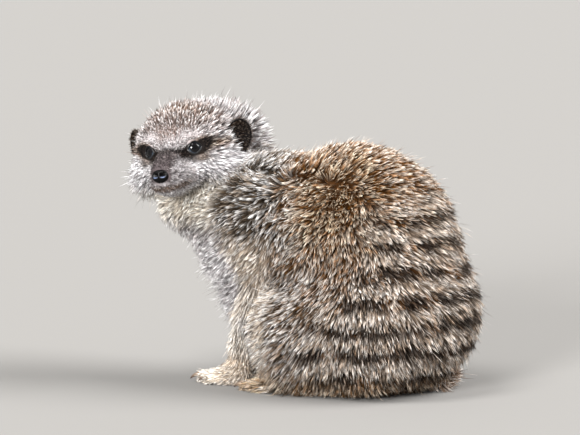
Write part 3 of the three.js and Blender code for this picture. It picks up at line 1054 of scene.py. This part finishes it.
def tuft_shape():
    """A three-sided tuft, closed at the root: how far each vertex is across, out and along, and the faces."""
    bm = ringed_cone(3, [WIDEST_AT])
    bmesh.ops.triangulate(bm, faces=bm.faces)
    bm.verts.ensure_lookup_table()
    points = np.array([v.co for v in bm.verts])
    faces = np.array([[v.index for v in f.verts] for f in bm.faces])
    bm.free()
    along = points[:, 2]
    turn = np.arctan2(points[:, 1], points[:, 0])
    radius = np.where(along > 0.999, 0, 0.5) * np.interp(along, [0, WIDEST_AT, 1], [ROOT_WIDTH, 1, 0])
    return radius * np.cos(turn), radius * np.sin(turn), along, faces


class Roots:
    """Places on the skin where tufts may start, with what is known of each face."""

    def __init__(self, skin):
        mesh = skin.data
        mesh.calc_loop_triangles()
        tris = np.empty(len(mesh.loop_triangles) * 3, np.int64)
        mesh.loop_triangles.foreach_get("vertices", tris)
        self.tris = tris.reshape(-1, 3)
        self.points = coords(mesh) / MM
        normals = np.empty(len(mesh.vertices) * 3)
        mesh.vertex_normals.foreach_get("vector", normals)
        self.normals = normals.reshape(-1, 3)
        self.kind = kinds(mesh)[self.tris[:, 0]]
        a, b, c = (self.points[self.tris[:, i]] for i in range(3))
        self.middle = (a + b + c) / 3
        self.area = norm(np.cross(b - a, c - a)) / 2

    def scatter(self, density, number, draw):
        """An even scatter of places over the faces, more where the density is high."""
        reach = np.cumsum(self.area * density)
        marks = (np.arange(number) + draw.uniform(0, 1, number)) / number * reach[-1]
        face = np.minimum(np.searchsorted(reach, marks), len(reach) - 1)
        r1, r2 = np.sqrt(draw.uniform(0, 1, number)), draw.uniform(0, 1, number)
        weights = np.stack([1 - r1, r1 * (1 - r2), r1 * r2], axis=1)
        place = (self.points[self.tris[face]] * weights[:, :, None]).sum(axis=1)
        normal = unit((self.normals[self.tris[face]] * weights[:, :, None]).sum(axis=1))
        return face, weights, place, normal


KNOWN_ROOTS = {}


def roots_of(skin):
    """The skin's places for tufts and the part of the coat that each belongs to, worked out once."""
    if skin.name not in KNOWN_ROOTS:
        roots = Roots(skin)
        roots.depth = coat_depth(roots.middle, bpy.context.scene.meerkat_sizes.body_depth / MM)
        roots.part = coat_of(roots)
        KNOWN_ROOTS[skin.name] = roots
    return KNOWN_ROOTS[skin.name]


def unwrapped(roots, faces):
    """An unwrap of the chosen faces of the skin by its own shape: one UV a corner, spread over the square."""
    used, index = np.unique(roots.tris[faces], return_inverse=True)
    mesh = bpy.data.meshes.new("unwrap")
    mesh.from_pydata((roots.points[used] * MM).tolist(), [], index.reshape(-1, 3).tolist())
    mesh.uv_layers.new(name="OFBake")
    patch = bpy.data.objects.new("unwrap", mesh)
    bpy.context.scene.collection.objects.link(patch)
    for each in bpy.context.selected_objects:
        each.select_set(False)
    bpy.context.view_layer.objects.active = patch
    patch.select_set(True)
    bpy.ops.object.mode_set(mode="EDIT")
    bpy.ops.mesh.select_all(action="SELECT")
    bpy.ops.uv.smart_project(angle_limit=math.radians(66), island_margin=0.004, scale_to_bounds=True)
    bpy.ops.object.mode_set(mode="OBJECT")
    uv = np.empty(len(mesh.loops) * 2)
    mesh.uv_layers["OFBake"].data.foreach_get("uv", uv)
    bpy.data.objects.remove(patch)
    return uv.reshape(-1, 3, 2)


def leaders_of(place, spacing, draw):
    """For each tuft, the tuft in the middle of its clump."""
    count = max(1, int(len(place) * min(1.0, spacing)))
    chosen = np.sort(draw.choice(len(place), count, replace=False))
    tree = kdtree.KDTree(count)
    for i, k in enumerate(chosen):
        tree.insert(place[k], i)
    tree.balance()
    return np.array([chosen[tree.find(co)[1]] for co in place])


# How the tufts of a part of the coat look: their width against the usual one, their least and most length
# against what the coat's depth asks for, their angles to the skin at the root and the tip in degrees, how
# much they stray and curl, the share with a dark tip, and the share that the others of a lock lean to.
Look = namedtuple("Look", "width least most root_angle tip_angle curl dark leaders")
TRUNK_LOOK = Look(0.9, 0.65, 1.05, 46, 26, 0.24, 0.26, 0.25)
MOST_TRIANGLES = 188000

# Each part of the coat: its slot, its most triangles and its look.
COATS = {
    "coat_face": ("coat_grizzled", MOST_TRIANGLES, Look(1.0, 0.75, 1.05, 38, 18, 0.30, 0.38, 0.36)),
    "coat_crown": ("coat_grizzled", MOST_TRIANGLES, Look(0.85, 0.75, 1.15, 58, 36, 0.32, 0.32, 0.34)),
    "coat_neck": ("coat_grizzled", MOST_TRIANGLES, Look(0.86, 0.58, 0.92, 54, 30, 0.36, 0.30, 0.28)),
    "coat_back": ("coat_fawn", MOST_TRIANGLES, TRUNK_LOOK._replace(dark=0.34)),
    "coat_flank_left": ("coat_fawn", MOST_TRIANGLES, TRUNK_LOOK),
    "coat_flank_right": ("coat_fawn", MOST_TRIANGLES, TRUNK_LOOK),
    "coat_rump": ("coat_fawn", MOST_TRIANGLES, TRUNK_LOOK._replace(most=1.1)),
    "coat_limbs": ("coat_pale", 168000, Look(0.85, 0.85, 1.15, 32, 12, 0.16, 0.16, 0.60)),
}
TRUNK_COATS = ("coat_neck", "coat_back", "coat_flank_left", "coat_flank_right", "coat_rump")
FINE_COATS = ("coat_face", "coat_limbs")


def coat_of(roots):
    """The name of the coat that each face of the skin belongs to."""
    p = roots.middle
    q = to_head(p)
    x, y, z = p[:, 0], p[:, 1] + SEAT_BACK, p[:, 2]
    part = np.array(list(FORMS))[shares(p).argmax(axis=1)]
    trunk = np.where(z > 104, "coat_back", np.where(x > 0, "coat_flank_left", "coat_flank_right"))
    trunk = np.where((y > 44) | (z < 12), "coat_rump", trunk)
    trunk = np.where(y < -38 + 0.6 * (100 - z).clip(-30, 40) * (z > 60), "coat_neck", trunk)
    trunk = np.where((y < -34) & (z <= 60), "coat_neck", trunk)
    head = np.where((q[:, 0] > 6) & (roots.kind == SKIN), "coat_face", "coat_crown")
    names = np.where(part == "head", head, np.where(part == "body", trunk, "coat_limbs"))
    return np.where(roots.kind == EAR, "coat_crown", names)


def coat_density(part, roots):
    """How close together the tufts of a part of the coat are on each face, against its usual."""
    dense = np.ones(len(roots.depth))
    q = to_head(roots.middle)
    if part == "coat_face":
        dense = 1 / np.maximum(roots.depth, 1.0) ** 0.8
        dense[(q[:, 0] > 36) & (np.abs(q[:, 1]) < 4.5) & (q[:, 2] > -19)] *= 0.3
        for _, side in SIDES:
            centre, ahead, *_ = eye_axes(side)
            d = q - centre
            dense[(norm(d) < EYE_R + 1.7) & (d @ ahead / norm(d) > 0.62)] = 0
        dense[norm((q - NOSE_AT) / (NOSE_RADII + 0.6)) < 1] = 0
        dense *= 1 - 0.9 * groove(mirrored(q), MOUTH, 1.0) * smooth(24, 30, q[:, 0])
    if part in TRUNK_COATS:
        dense += 1.2 * np.exp(-(norm(roots.middle - whorl_of(roots.middle)) / 14) ** 2)
    if part == "coat_limbs":
        dense = 1 / np.maximum(roots.depth, 1.2) ** 0.5
    if part == "coat_crown":
        dense = np.where(roots.kind == EAR, 1.6, 1.0)
    return dense


def spines_of(place, normal, lie, size, sink, angles, bend, heights):
    """Points up the middle of each tuft at the given heights, turning from its root's angle to its tip's."""
    spots = np.zeros((len(heights), *place.shape))
    spots[0] = place - normal * sink[:, None]
    first, last = angles
    beside = np.cross(normal, lie)
    for k in range(1, len(heights)):
        middle = (heights[k] + heights[k - 1]) / 2
        angle = (first + (last - first) * middle ** 0.8)[:, None]
        sideways = (bend * middle)[:, None]
        way = np.cos(angle) * (lie * np.cos(sideways) + beside * np.sin(sideways)) + np.sin(angle) * normal
        spots[k] = spots[k - 1] + way * (size * (heights[k] - heights[k - 1]))[:, None]
    return spots


TONE_STOPS = np.array([0, WIDEST_AT, 0.96])  # of a tuft's length
WITH_LOCK = 0.88  # share of the tufts that take the tone of their lock
MIXED_TIPS = 0.25  # share of the tufts whose tips are between light and the colour of their middle


def tuft_shades(share, along, leader, draw, dark_share):
    """Each tuft is dark at its root, from the hair's own dark base and from painted shade deep in the coat,
    and light or dark at its tip, mostly as its lock is.
    """
    root, middle, light, dark = (share @ zone_colours(part) for part in ("roots", "middle", "light", "dark"))
    number = len(leader)
    chance = draw.uniform(0, 1, number)
    strength = draw.uniform(0, 1, number)
    with_lock = draw.uniform(0, 1, number) < WITH_LOCK
    chance = np.where(with_lock, chance[leader], chance)[:, None]
    strength = np.where(with_lock, strength[leader], strength)[:, None]
    tip = np.where(chance < dark_share, dark, light)
    mixed = (chance > dark_share) & (chance < dark_share + MIXED_TIPS)
    tip = np.where(mixed, 0.24 * light + 0.76 * middle, tip)
    glow = 0.28 + 1.15 * strength
    warm = draw.normal(0, 0.04, number)[:, None] * np.array([1, 0, -1])
    # the root is taken at half its zone's colour: painted shade deep in the coat on top of the hair's dark
    # base
    stops = [root * 0.5, (0.26 * root + 0.36 * middle + 0.38 * tip) * glow, tip * glow * (1 + warm)]
    cols = np.empty((number, len(along), 3))
    for i, s in enumerate(along):
        k = min(np.searchsorted(TONE_STOPS, s, side="right") - 1, len(TONE_STOPS) - 2)
        t = min(1.0, (s - TONE_STOPS[k]) / (TONE_STOPS[k + 1] - TONE_STOPS[k]))
        cols[:, i] = stops[k] * (1 - t) + stops[k + 1] * t
    return np.clip(cols, 0, 1)


def tufts_joined(points, faces, name):
    """One mesh of all the tufts."""
    number, size = points.shape[:2]
    tris = (faces[None] + (np.arange(number) * size)[:, None, None]).reshape(-1, 3)
    mesh = bpy.data.meshes.new(name)
    mesh.vertices.add(number * size)
    mesh.vertices.foreach_set("co", (points * MM).ravel())
    mesh.loops.add(len(tris) * 3)
    mesh.loops.foreach_set("vertex_index", tris.ravel().astype(np.int32))
    mesh.polygons.add(len(tris))
    mesh.polygons.foreach_set("loop_start", (np.arange(len(tris)) * 3).astype(np.int32))
    mesh.update(calc_edges=True)
    mesh.validate()
    return mesh


BAKE_PATCH = 0.003  # side of a tuft's patch on its map


def add_bake_map(mesh, roots, chosen, face, weights, across, along, faces):
    """A small patch for each tuft at its root's place on the unwrap of this part of the skin."""
    where = np.flatnonzero(chosen)
    corner_uv = unwrapped(roots, where)
    index = np.full(len(roots.tris), -1)
    index[where] = np.arange(len(where))
    root_uv = (corner_uv[index[face]] * weights[:, :, None]).sum(axis=1)
    patch = np.stack([across, along - 0.5], axis=1) * BAKE_PATCH
    uv = np.clip(root_uv[:, None] + patch[None], 0.0005, 0.9995)
    layer = mesh.uv_layers.new(name="OFBake")
    loops = uv[:, faces.ravel()].reshape(-1, 2)
    layer.data.foreach_set("uv", loops.astype(np.float32).ravel())


EAR_COAT = 0.9  # mm deep
LEAST_COAT = 0.4  # mm deep
SHORTEST, LONGEST = 1.6, 13  # mm, before the wisps and the skirt
WIDE_FROM, FINE_WIDE_FROM = 8, 4.5  # mm long, where a tuft has its full width
ROOT_STRAY, TIP_STRAY = 9, 11  # degrees
TEMPLE_ROOT, TEMPLE_TIP = 62, 48  # degrees to the skin on the temples
WISPS = 0.03  # share of the tufts that are long, thin and stand up
WISPS_ON_CHEST = 0.10  # more of them down the front of the chest
WISP_LENGTH, WISP_WIDTH, WISP_UP = 1.6, 0.6, 14  # against the other tufts, and degrees at the tip
DEEPEST_ROOT = 0.35  # mm under the skin
LOWEST_HAIR = 0.15  # mm above the floor
COVERS = 0.72  # of a tuft's length: the place whose markings it carries


class MEERKAT_OT_coat(bpy.types.Operator):
    """Grow one part of the coat out of the skin, as solid tufts that follow its lie"""

    bl_idname = "meerkat.coat"
    bl_label = "Coat"

    part: StringProperty(name="Part", description="Name of the part of the coat", default="coat_back")

    def execute(self, context):
        sizes = context.scene.meerkat_sizes
        slot, most, look = COATS[self.part]
        draw = np.random.default_rng(sizes.seed + list(COATS).index(self.part))
        roots = roots_of(bpy.data.objects["skin"])
        chosen = roots.part == self.part
        fine, on_trunk = self.part in FINE_COATS, self.part in TRUNK_COATS
        across, out, along, faces = tuft_shape()
        number = int(most / len(faces) * sizes.coat_share * (1))
        density = chosen * (roots.kind != LID) * coat_density(self.part, roots)
        face, weights, place, normal = roots.scatter(density, number, draw)
        on_ear = roots.kind[face] == EAR
        depth = np.maximum(coat_depth(place, sizes.body_depth / MM), LEAST_COAT)
        depth[on_ear] = EAR_COAT

        lie = lie_of_coat(place, normal)
        loose = np.exp(-(norm(place - whorl_of(place)) / 19) ** 2) * on_trunk
        turn = (draw.normal(0, 1, number) * (look.curl + 0.7 * loose))[:, None]
        lie = unit(lie * np.cos(turn) + np.cross(normal, lie) * np.sin(turn))
        beside = np.cross(normal, lie)
        root_angle, tip_angle, depth = self.stance(look, place, normal, depth, loose)
        size = depth / np.sin(np.radians((root_angle + tip_angle) / 2))
        size = np.clip(size * draw.uniform(look.least, look.most, number), SHORTEST, LONGEST)
        temple = self.temple(place)
        size = size * (1 + 0.5 * temple)
        root_angle = root_angle + (TEMPLE_ROOT - root_angle) * temple
        tip_angle = tip_angle + (TEMPLE_TIP - tip_angle) * temple
        width = (sizes.face_width if fine else sizes.body_width) / MM * draw.uniform(0.7, 1.25, number)
        width = width * np.clip(size / (FINE_WIDE_FROM if fine else WIDE_FROM), 0.55, 1) * look.width
        skirt = smooth(0, -20, place[:, 1] + SEAT_BACK) * smooth(40, 20, place[:, 2]) * on_trunk
        fringe = chest_strip(place) * smooth(78, 60, place[:, 2]) * on_trunk
        size = size * (1 + 0.5 * skirt) * (1 + 0.35 * fringe)
        leader = leaders_of(place, look.leaders, draw)
        wisps = draw.uniform(0, 1, number) < WISPS + WISPS_ON_CHEST * fringe
        wisps &= leader != np.arange(number)
        size = np.where(wisps & ~on_ear, size * WISP_LENGTH, size)
        width = np.where(wisps, width * WISP_WIDTH, width)
        first = np.radians(root_angle + draw.normal(0, ROOT_STRAY, number))
        last = np.radians(tip_angle + draw.normal(0, TIP_STRAY, number) + WISP_UP * wisps)

        heights = np.unique(along.round(5))
        sink = np.minimum(DEEPEST_ROOT, depth * 0.2)
        bend = draw.normal(0, 0.5 * look.curl, number)
        spots = spines_of(place, normal, lie, size, sink, (first, last), bend, heights)
        pull = draw.uniform(0.6, 0.95, number) * (0.5 if self.part == "coat_limbs" else 1) * (1 - 0.8 * wisps)
        lean = (spots[-1][leader] - spots[-1]) * pull[:, None]
        lean *= np.minimum(1, 0.5 * size / np.maximum(norm(lean), 1e-6))[:, None]
        spots += lean * (heights ** 1.2)[:, None, None]
        points = spots[np.searchsorted(heights, along.round(5))].transpose(1, 0, 2)
        points = points + beside[:, None] * (across * width[:, None])[:, :, None]
        points = points + normal[:, None] * (out * width[:, None] * 0.7)[:, :, None]
        points[:, :, 2] = np.maximum(points[:, :, 2], LOWEST_HAIR)

        mesh = tufts_joined(points, faces, self.part)
        # A tuft has the colours of the place that its outer part covers, so the markings stay in place.
        seen = spots[0] + COVERS * (spots[-1] - spots[0])
        share = zones(seen + draw.normal(0, 0.5 if fine else 1.3, place.shape))
        share[on_ear] = 0
        share[on_ear, ZONE_NAMES.index("black")] = 0.85
        share[on_ear, ZONE_NAMES.index("back")] = 0.15
        shade = tuft_shades(share, along, leader, draw, look.dark)
        paint(mesh, "Coat", shade.reshape(-1, 3))
        add_bake_map(mesh, roots, chosen, face, weights, across, along, faces)
        hair = hair_material(self.part.replace("coat", "tufted_hair"), "Coat", 0.55, 1.1, 0.05)
        new_piece(self.part, mesh, slot, hair)
        return {"FINISHED"}

    def stance(self, look, place, normal, depth, loose):
        """The angles of the tufts to the skin at root and tip, and the depth of coat that they fill."""
        root_angle, tip_angle = look.root_angle + 20 * loose, look.tip_angle + 28 * loose
        if self.part == "coat_face":
            q = to_head(place)
            stand = smooth(20, 2, q[:, 0])
            stand = np.maximum(stand, 0.8 * smooth(12, 22, np.abs(q[:, 1])) * smooth(24, 16, q[:, 0]))
            brow = smooth(-2, 6, q[:, 2])
            root_angle = root_angle + 28 * stand + 12 * brow
            tip_angle = tip_angle + 24 * stand + 18 * brow
        if self.part == "coat_limbs":
            flat = smooth(18, 10, place[:, 2])
            root_angle, tip_angle = root_angle - 10 * flat, tip_angle - 6 * flat
            depth = depth * (1 - 0.6 * flat * smooth(-0.55, -0.95, normal[:, 1]))
        return root_angle, tip_angle, depth

    def temple(self, place):
        """How far each place is on the temples, where the fur stands out beside the eyes."""
        x, y, z = to_head(place).T
        temple = smooth(17, 21, np.abs(y)) * smooth(4, 9, x) * smooth(22, 15, x)
        return temple * smooth(-16, -8, z) * smooth(14, 8, z) * (self.part in ("coat_face", "coat_crown"))


# ---------- eyes, nose, claws and whiskers ----------

# Degrees from the middle of the eye, and whether the pupil, the iris or the limbus, painted grey-blue as a
# reflection of the sky, is there.
EYE_RINGS = ((0, "pupil"), (17, "pupil"), (20, "iris"), (31, "iris"), (34, "limbus_sky_reflection"), (36, "limbus_sky_reflection"),
             (40, "iris"), (90, "iris"))
LIMBUS_FROM = 31  # degrees


class MEERKAT_OT_eyes(bpy.types.Operator):
    """Make both eyeballs, with pupil, iris and a grey-blue edge that is a painted reflection of the sky"""

    bl_idname = "meerkat.eyes"
    bl_label = "Eyes"

    def execute(self, context):
        colours = context.scene.meerkat_colours
        # An eye is wet and clear in front: a thin gloss over a dark iris gives one small sharp light.
        material, *_ = painted_material(
            "wet_eye", "Iris", Roughness=0.05, IOR=1.38, Specular_IOR_Level=0.36)
        degrees = [ring for ring, _ in EYE_RINGS]
        tones = np.array([getattr(colours, part)[:] for _, part in EYE_RINGS])
        for name, side in SIDES:
            low, high = (np.array(c[:]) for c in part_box(f"eye_{name}"))
            centre, radius = (low + high) / 2, (high - low).min() / 2
            ahead = HEAD_AXES @ eye_axes(side)[1]
            bm = bmesh.new()
            bmesh.ops.create_uvsphere(bm, u_segments=48, v_segments=40, radius=radius)
            turn = Vector((0, 0, 1)).rotation_difference(Vector(ahead))
            bmesh.ops.rotate(bm, verts=bm.verts, cent=(0, 0, 0), matrix=turn.to_matrix())
            bmesh.ops.translate(bm, verts=bm.verts, vec=Vector(centre))
            mesh = mesh_from(bm, f"eyeball_{name}")
            way = unit(coords(mesh) - centre)
            angle = np.degrees(np.arccos(np.clip(way @ ahead, -1, 1)))
            tone = np.stack([np.interp(angle, degrees, tones[:, k]) for k in range(3)], axis=1)
            # painted shade: the limbus's painted reflection is dimmed towards the top, where the upper lid
            # shades it
            lid_shade_on_limbus = 0.25 + 0.75 * smooth(0.25, -0.25, way[:, 2])[:, None]
            paint(mesh, "Iris", tone * np.where(angle[:, None] > LIMBUS_FROM, lid_shade_on_limbus, 1))
            eye = new_piece(f"eyeball_{name}", mesh, "eye", material)
            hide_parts(f"eye_{name}")
        return {"FINISHED"}


NOSE_INSIDE = 0.98  # of the size of the nose's solid
PEBBLE = 0.42  # mm from one bump of the leather to the next


class MEERKAT_OT_nose(bpy.types.Operator):
    """Make the nose pad, with its nostrils and the groove between them"""

    bl_idname = "meerkat.nose"
    bl_label = "Nose"

    def execute(self, context):
        colours = context.scene.meerkat_colours
        bm = bmesh.new()
        bmesh.ops.create_icosphere(bm, subdivisions=6, radius=1)
        rims = []
        for v in bm.verts:
            way = np.array(v.co)
            push, rim = self.relief(*way)
            rims.append([rim])
            # the front of the pad is nearly flat
            flat = way * [1 - 0.36 * max(way[0], 0), 1, 1]
            q = NOSE_AT + flat * push * NOSE_RADII * NOSE_INSIDE
            v.co = Vector(from_head(q)) * MM
        # Nose leather: bare pebbled skin, dark and slightly wet, with an even scatter of small bumps.
        material, tree, shader = painted_material(
            "nose_leather", "Leather", Roughness=0.30, IOR=1.38, Specular_IOR_Level=0.16)
        place = add_node(tree, "ShaderNodeTexCoord")
        pebble = add_node(tree, "ShaderNodeTexVoronoi", {"Scale": 1 / (PEBBLE * MM)},
                          {"Vector": place.outputs["Object"]})
        bump = add_node(tree, "ShaderNodeBump", {"Strength": 0.5, "Distance": 0.08 * MM, "invert": True},
                        {"Height": pebble.outputs["Distance"]})
        tree.links.new(bump.outputs["Normal"], shader.inputs["Normal"])
        mesh = mesh_from(bm, "nose_pad")
        rims = np.array(rims)
        # the lower rims of the nostrils get a painted blue-grey highlight
        paint(mesh, "Leather", (1 - rims) * np.array(colours.nose[:]) + rims * np.array(colours.nostril_highlight[:]))
        nose = new_piece("nose_pad", mesh, "nose_leather", material)
        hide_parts("nose")
        return {"FINISHED"}

    def relief(self, x, y, z):
        """How far out the pad is, against its ellipsoid, and how much painted highlight lies on a nostril's
        lower rim.
        """
        a = abs(y)
        if x <= 0:
            return 1.0, 0.0
        hole = math.exp(-((a - 0.46) / 0.31) ** 4 - ((z - 0.27) / 0.30) ** 4)
        middle = math.exp(-(y / 0.07) ** 2) * float(smooth(0.05, -0.2, z))
        wing = math.exp(-((a - 0.52) / 0.25) ** 2 - ((z - 0.62) / 0.14) ** 2)
        lower = math.exp(-((a - 0.45) / 0.30) ** 2 - ((z + 0.22) / 0.13) ** 2)
        square = 1 + 0.07 * (1 - abs(a - z))
        # painted highlight: a thin blue-grey crescent of light along the lower rim of each nostril
        rim = math.exp(-((a - 0.47) / 0.30) ** 4 - ((z + 0.10 - 0.9 * (a - 0.45) ** 2) / 0.06) ** 2)
        return square - 0.60 * hole - 0.14 * middle + 0.08 * wing + 0.08 * lower, rim


HORN_STREAK = 3.3  # mm, before it is drawn out along the claw
CLAW_END = 0.0008  # metres of its solid that are taken as the end of a claw


class MEERKAT_OT_claws(bpy.types.Operator):
    """Make the smooth claws of the four feet"""

    bl_idname = "meerkat.claws"
    bl_label = "Claws"

    def execute(self, context):
        colours = context.scene.meerkat_colours
        # Claw horn: keratin in long layers, worn smooth, darker towards the point.
        material, tree, shader = painted_material("claw_horn", "Horn", Roughness=0.38, IOR=1.54)
        place = add_node(tree, "ShaderNodeTexCoord")
        streak = add_node(tree, "ShaderNodeMapping", {"Scale": (9.0, 1.0, 9.0)},
                          {"Vector": place.outputs["Object"]})
        layers = add_node(tree, "ShaderNodeTexNoise", {"Scale": 1 / (HORN_STREAK * MM)},
                          {"Vector": streak.outputs["Vector"]})
        bump = add_node(tree, "ShaderNodeBump", {"Strength": 0.3, "Distance": 0.05 * MM},
                        {"Height": layers.outputs["Fac"]})
        tree.links.new(bump.outputs["Normal"], shader.inputs["Normal"])
        for name, _ in SIDES:
            for leg in ("fore", "hind"):
                bm = bmesh.new()
                tones = []
                nodes = [f"claw_{leg}_{name}_{i}" for i in range(1, 5)]
                for node in nodes:
                    claw, its_tones = self.claw(node, context.scene.meerkat_sizes.claw_width, colours)
                    add_part(bm, claw)
                    tones += its_tones
                piece = f"claws_{leg}_{name}"
                claws = new_piece(piece, mesh_from(bm, piece), "claw_horn", material)
                paint(claws.data, "Horn", np.array(tones))
                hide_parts(*nodes)
        return {"FINISHED"}

    def claw(self, node, width, colours):
        """A curved cone through the box of its solid, from the toe down to a point above the floor."""
        p = coords(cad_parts[node].data)
        back = p[p[:, 1] > p[:, 1].max() - CLAW_END].mean(axis=0)
        tip = p[p[:, 1] < p[:, 1].min() + CLAW_END].mean(axis=0)
        half = width / 2
        ahead = unit(tip - back)
        beside = unit(np.cross([0, 0, 1.0], ahead))
        over_it = np.cross(ahead, beside)
        root_tone, tip_tone = np.array(colours.claw_root[:]), np.array(colours.claw_tip[:])
        bm = ringed_cone(14, (0.15, 0.3, 0.45, 0.6, 0.75, 0.88))
        tones = []
        for v in bm.verts:
            s = v.co.z
            turn = math.atan2(v.co.y, v.co.x)
            size = half * (1 - s ** 1.7) ** 0.8 if s < 1 else 0
            middle = back + (tip - back) * s + over_it * half * 0.75 * math.sin(math.pi * s)
            v.co = Vector(middle + size * (0.85 * math.cos(turn) * beside + 1.1 * math.sin(turn) * over_it))
            t = min(1, max(0, (s - 0.15) / 0.7))
            tones.append(root_tone * (1 - t) + tip_tone * t)
        return bm, tones


WHISKER_ROWS, WHISKERS_IN_ROW, BROW_WHISKERS = 3, 4, 3
WHISKER_SUNK = 0.5  # mm under the skin


class MEERKAT_OT_whiskers(bpy.types.Operator):
    """Make the stiff dark whiskers of the muzzle and the brows"""

    bl_idname = "meerkat.whiskers"
    bl_label = "Whiskers"

    def execute(self, context):
        sizes, colours = context.scene.meerkat_sizes, context.scene.meerkat_colours
        draw = np.random.default_rng(sizes.seed + 100)
        places, ways, reaches = [], [], []
        for _, side in SIDES:
            for row in range(WHISKER_ROWS):
                for k in range(WHISKERS_IN_ROW):
                    places.append([37.0 - 3.2 * k, side * (5.2 + 1.7 * k), -14.5 - 2.3 * row])
                    ways.append([0.10 - 0.25 * k, side * 0.9, -0.25 - 0.16 * row])
                    reaches.append(draw.uniform(9, 15) + 2.0 * k)
            for k in range(BROW_WHISKERS):
                places.append([19.0, side * (8 + 3 * k), 8.5])
                ways.append([0.5, side * (0.25 + 0.2 * k), 0.9])
                reaches.append(draw.uniform(7, 10))
        bases = settle(skin_form(sizes.body_depth / MM), from_head(np.array(places)), 8)
        bm = bmesh.new()
        for base, way, reach in zip(bases, ways, reaches):
            way = unit(HEAD_AXES @ way + draw.normal(0, 0.08, 3))
            add_part(bm, self.whisker(base, way, reach, sizes.whisker_width / MM / 2))
        # Whiskers are stiff, smooth and nearly black, so they shine more than the coat.
        material, *_ = new_material(
            "whisker_hair", Base_Color=(*colours.whisker, 1), Roughness=0.35, IOR=1.55)
        new_piece("whiskers", mesh_from(bm, "whiskers"), "coat_dark", material)
        return {"FINISHED"}

    def whisker(self, base, way, reach, half):
        """A thin tapered hair that droops a little."""
        bm = ringed_cone(5, (0.25, 0.5, 0.75))
        beside = unit(np.cross([0, 0, 1.0], way))
        over_it = np.cross(way, beside)
        for v in bm.verts:
            s = v.co.z
            turn = math.atan2(v.co.y, v.co.x)
            size = half * (1 - 0.85 * s) if s < 1 else 0
            middle = base + way * (reach * s - WHISKER_SUNK) - np.array([0, 0, 1.0]) * reach * 0.16 * s * s
            v.co = Vector(middle + size * (math.cos(turn) * beside + math.sin(turn) * over_it)) * MM
        return bm


# ---------- stage ----------

FLOOR_SIZE = 12  # metres from the middle to an edge
VIEW_MIDDLE = at(2.2, -35.7, 93.3)
# Each lamp: how far it is towards the camera, to the right and up, how wide it looks in degrees, and its
# strength against the main light's.
LAMPS = (
    ("key", 0.45, -0.45, 1.1, 24, 1),
    ("front", 1, -0.50, 0.18, 18, 2.2),
    ("rim", 0.1, 0.9, 0.8, 40, 2.1),
)


class MEERKAT_OT_stage(bpy.types.Operator):
    """Make the floor, the soft light and the camera"""

    bl_idname = "meerkat.stage"
    bl_label = "Stage"

    def execute(self, context):
        stage = context.scene.meerkat_stage
        bm = bmesh.new()
        bmesh.ops.create_grid(bm, x_segments=1, y_segments=1, size=FLOOR_SIZE)
        floor = bpy.data.objects.new("floor", mesh_from(bm, "floor"))
        context.scene.collection.objects.link(floor)
        # A matt painted board, the same all over.
        material, *_ = new_material("matt_board", Base_Color=(*stage.floor, 1), Roughness=0.9)
        floor.data.materials.append(material)

        world = bpy.data.worlds.new("soft_surroundings")
        context.scene.world = world
        world.use_nodes = True
        back = world.node_tree.nodes["Background"]
        back.inputs["Color"].default_value = (*stage.world, 1)
        back.inputs["Strength"].default_value = stage.fill
        target = Vector(VIEW_MIDDLE) * MM
        e, a = stage.elevation, stage.azimuth
        away = Vector((math.sin(a) * math.cos(e), -math.cos(a) * math.cos(e), math.sin(e)))
        right = Vector((math.cos(a), math.sin(a), 0))
        for name, towards, aside, up, spread, power in LAMPS:
            way = away * towards + right * aside + Vector((0, 0, up))
            lamp = bpy.data.lights.new(name, "SUN")
            lamp.angle = math.radians(spread)
            lamp.energy = stage.key * power
            light = bpy.data.objects.new(name, lamp)
            light.location = target + way
            light.rotation_euler = (-way).to_track_quat("-Z", "Y").to_euler()
            context.scene.collection.objects.link(light)

        lens = bpy.data.cameras.new("camera")
        lens.lens = stage.lens
        lens.sensor_width = 36
        lens.clip_end = 50
        camera = bpy.data.objects.new("camera", lens)
        camera.location = target + away * stage.distance
        camera.rotation_euler = (-away).to_track_quat("-Z", "Y").to_euler()
        context.scene.collection.objects.link(camera)
        context.scene.camera = camera
        context.scene.view_settings.view_transform = "Standard"
        return {"FINISHED"}


class MEERKAT_PT_panel(bpy.types.Panel):
    """The parts of the meerkat, in the order in which they are made"""

    bl_idname = "MEERKAT_PT_panel"
    bl_label = "Meerkat"
    bl_space_type = "VIEW_3D"
    bl_region_type = "UI"
    bl_category = "Meerkat"

    def draw(self, context):
        layout = self.layout
        for name in ("stage", "skin", "eyes", "nose", "claws", "whiskers"):
            layout.operator(f"meerkat.{name}")
        for part in COATS:
            layout.operator("meerkat.coat", text=part.replace("_", " ").capitalize()).part = part
        scene = context.scene
        for group in (scene.meerkat_sizes, scene.meerkat_stage, scene.meerkat_colours):
            for name in group.__annotations__:
                layout.prop(group, name)


CLASSES = (
    MeerkatColours, MeerkatSizes, MeerkatStage, MEERKAT_OT_skin, MEERKAT_OT_coat, MEERKAT_OT_eyes,
    MEERKAT_OT_nose, MEERKAT_OT_claws, MEERKAT_OT_whiskers, MEERKAT_OT_stage, MEERKAT_PT_panel,
)


def register():
    for each in CLASSES:
        bpy.utils.register_class(each)
    bpy.types.Scene.meerkat_colours = PointerProperty(type=MeerkatColours)
    bpy.types.Scene.meerkat_sizes = PointerProperty(type=MeerkatSizes)
    bpy.types.Scene.meerkat_stage = PointerProperty(type=MeerkatStage)


def unregister():
    del bpy.types.Scene.meerkat_stage, bpy.types.Scene.meerkat_sizes, bpy.types.Scene.meerkat_colours
    for each in reversed(CLASSES):
        bpy.utils.unregister_class(each)


def main():
    register()
    bpy.ops.meerkat.stage()
    bpy.ops.meerkat.skin()
    bpy.ops.meerkat.eyes()
    bpy.ops.meerkat.nose()
    bpy.ops.meerkat.claws()
    bpy.ops.meerkat.whiskers()
    for part in COATS:
        bpy.ops.meerkat.coat(part=part)


if __name__ == "__main__":
    main()
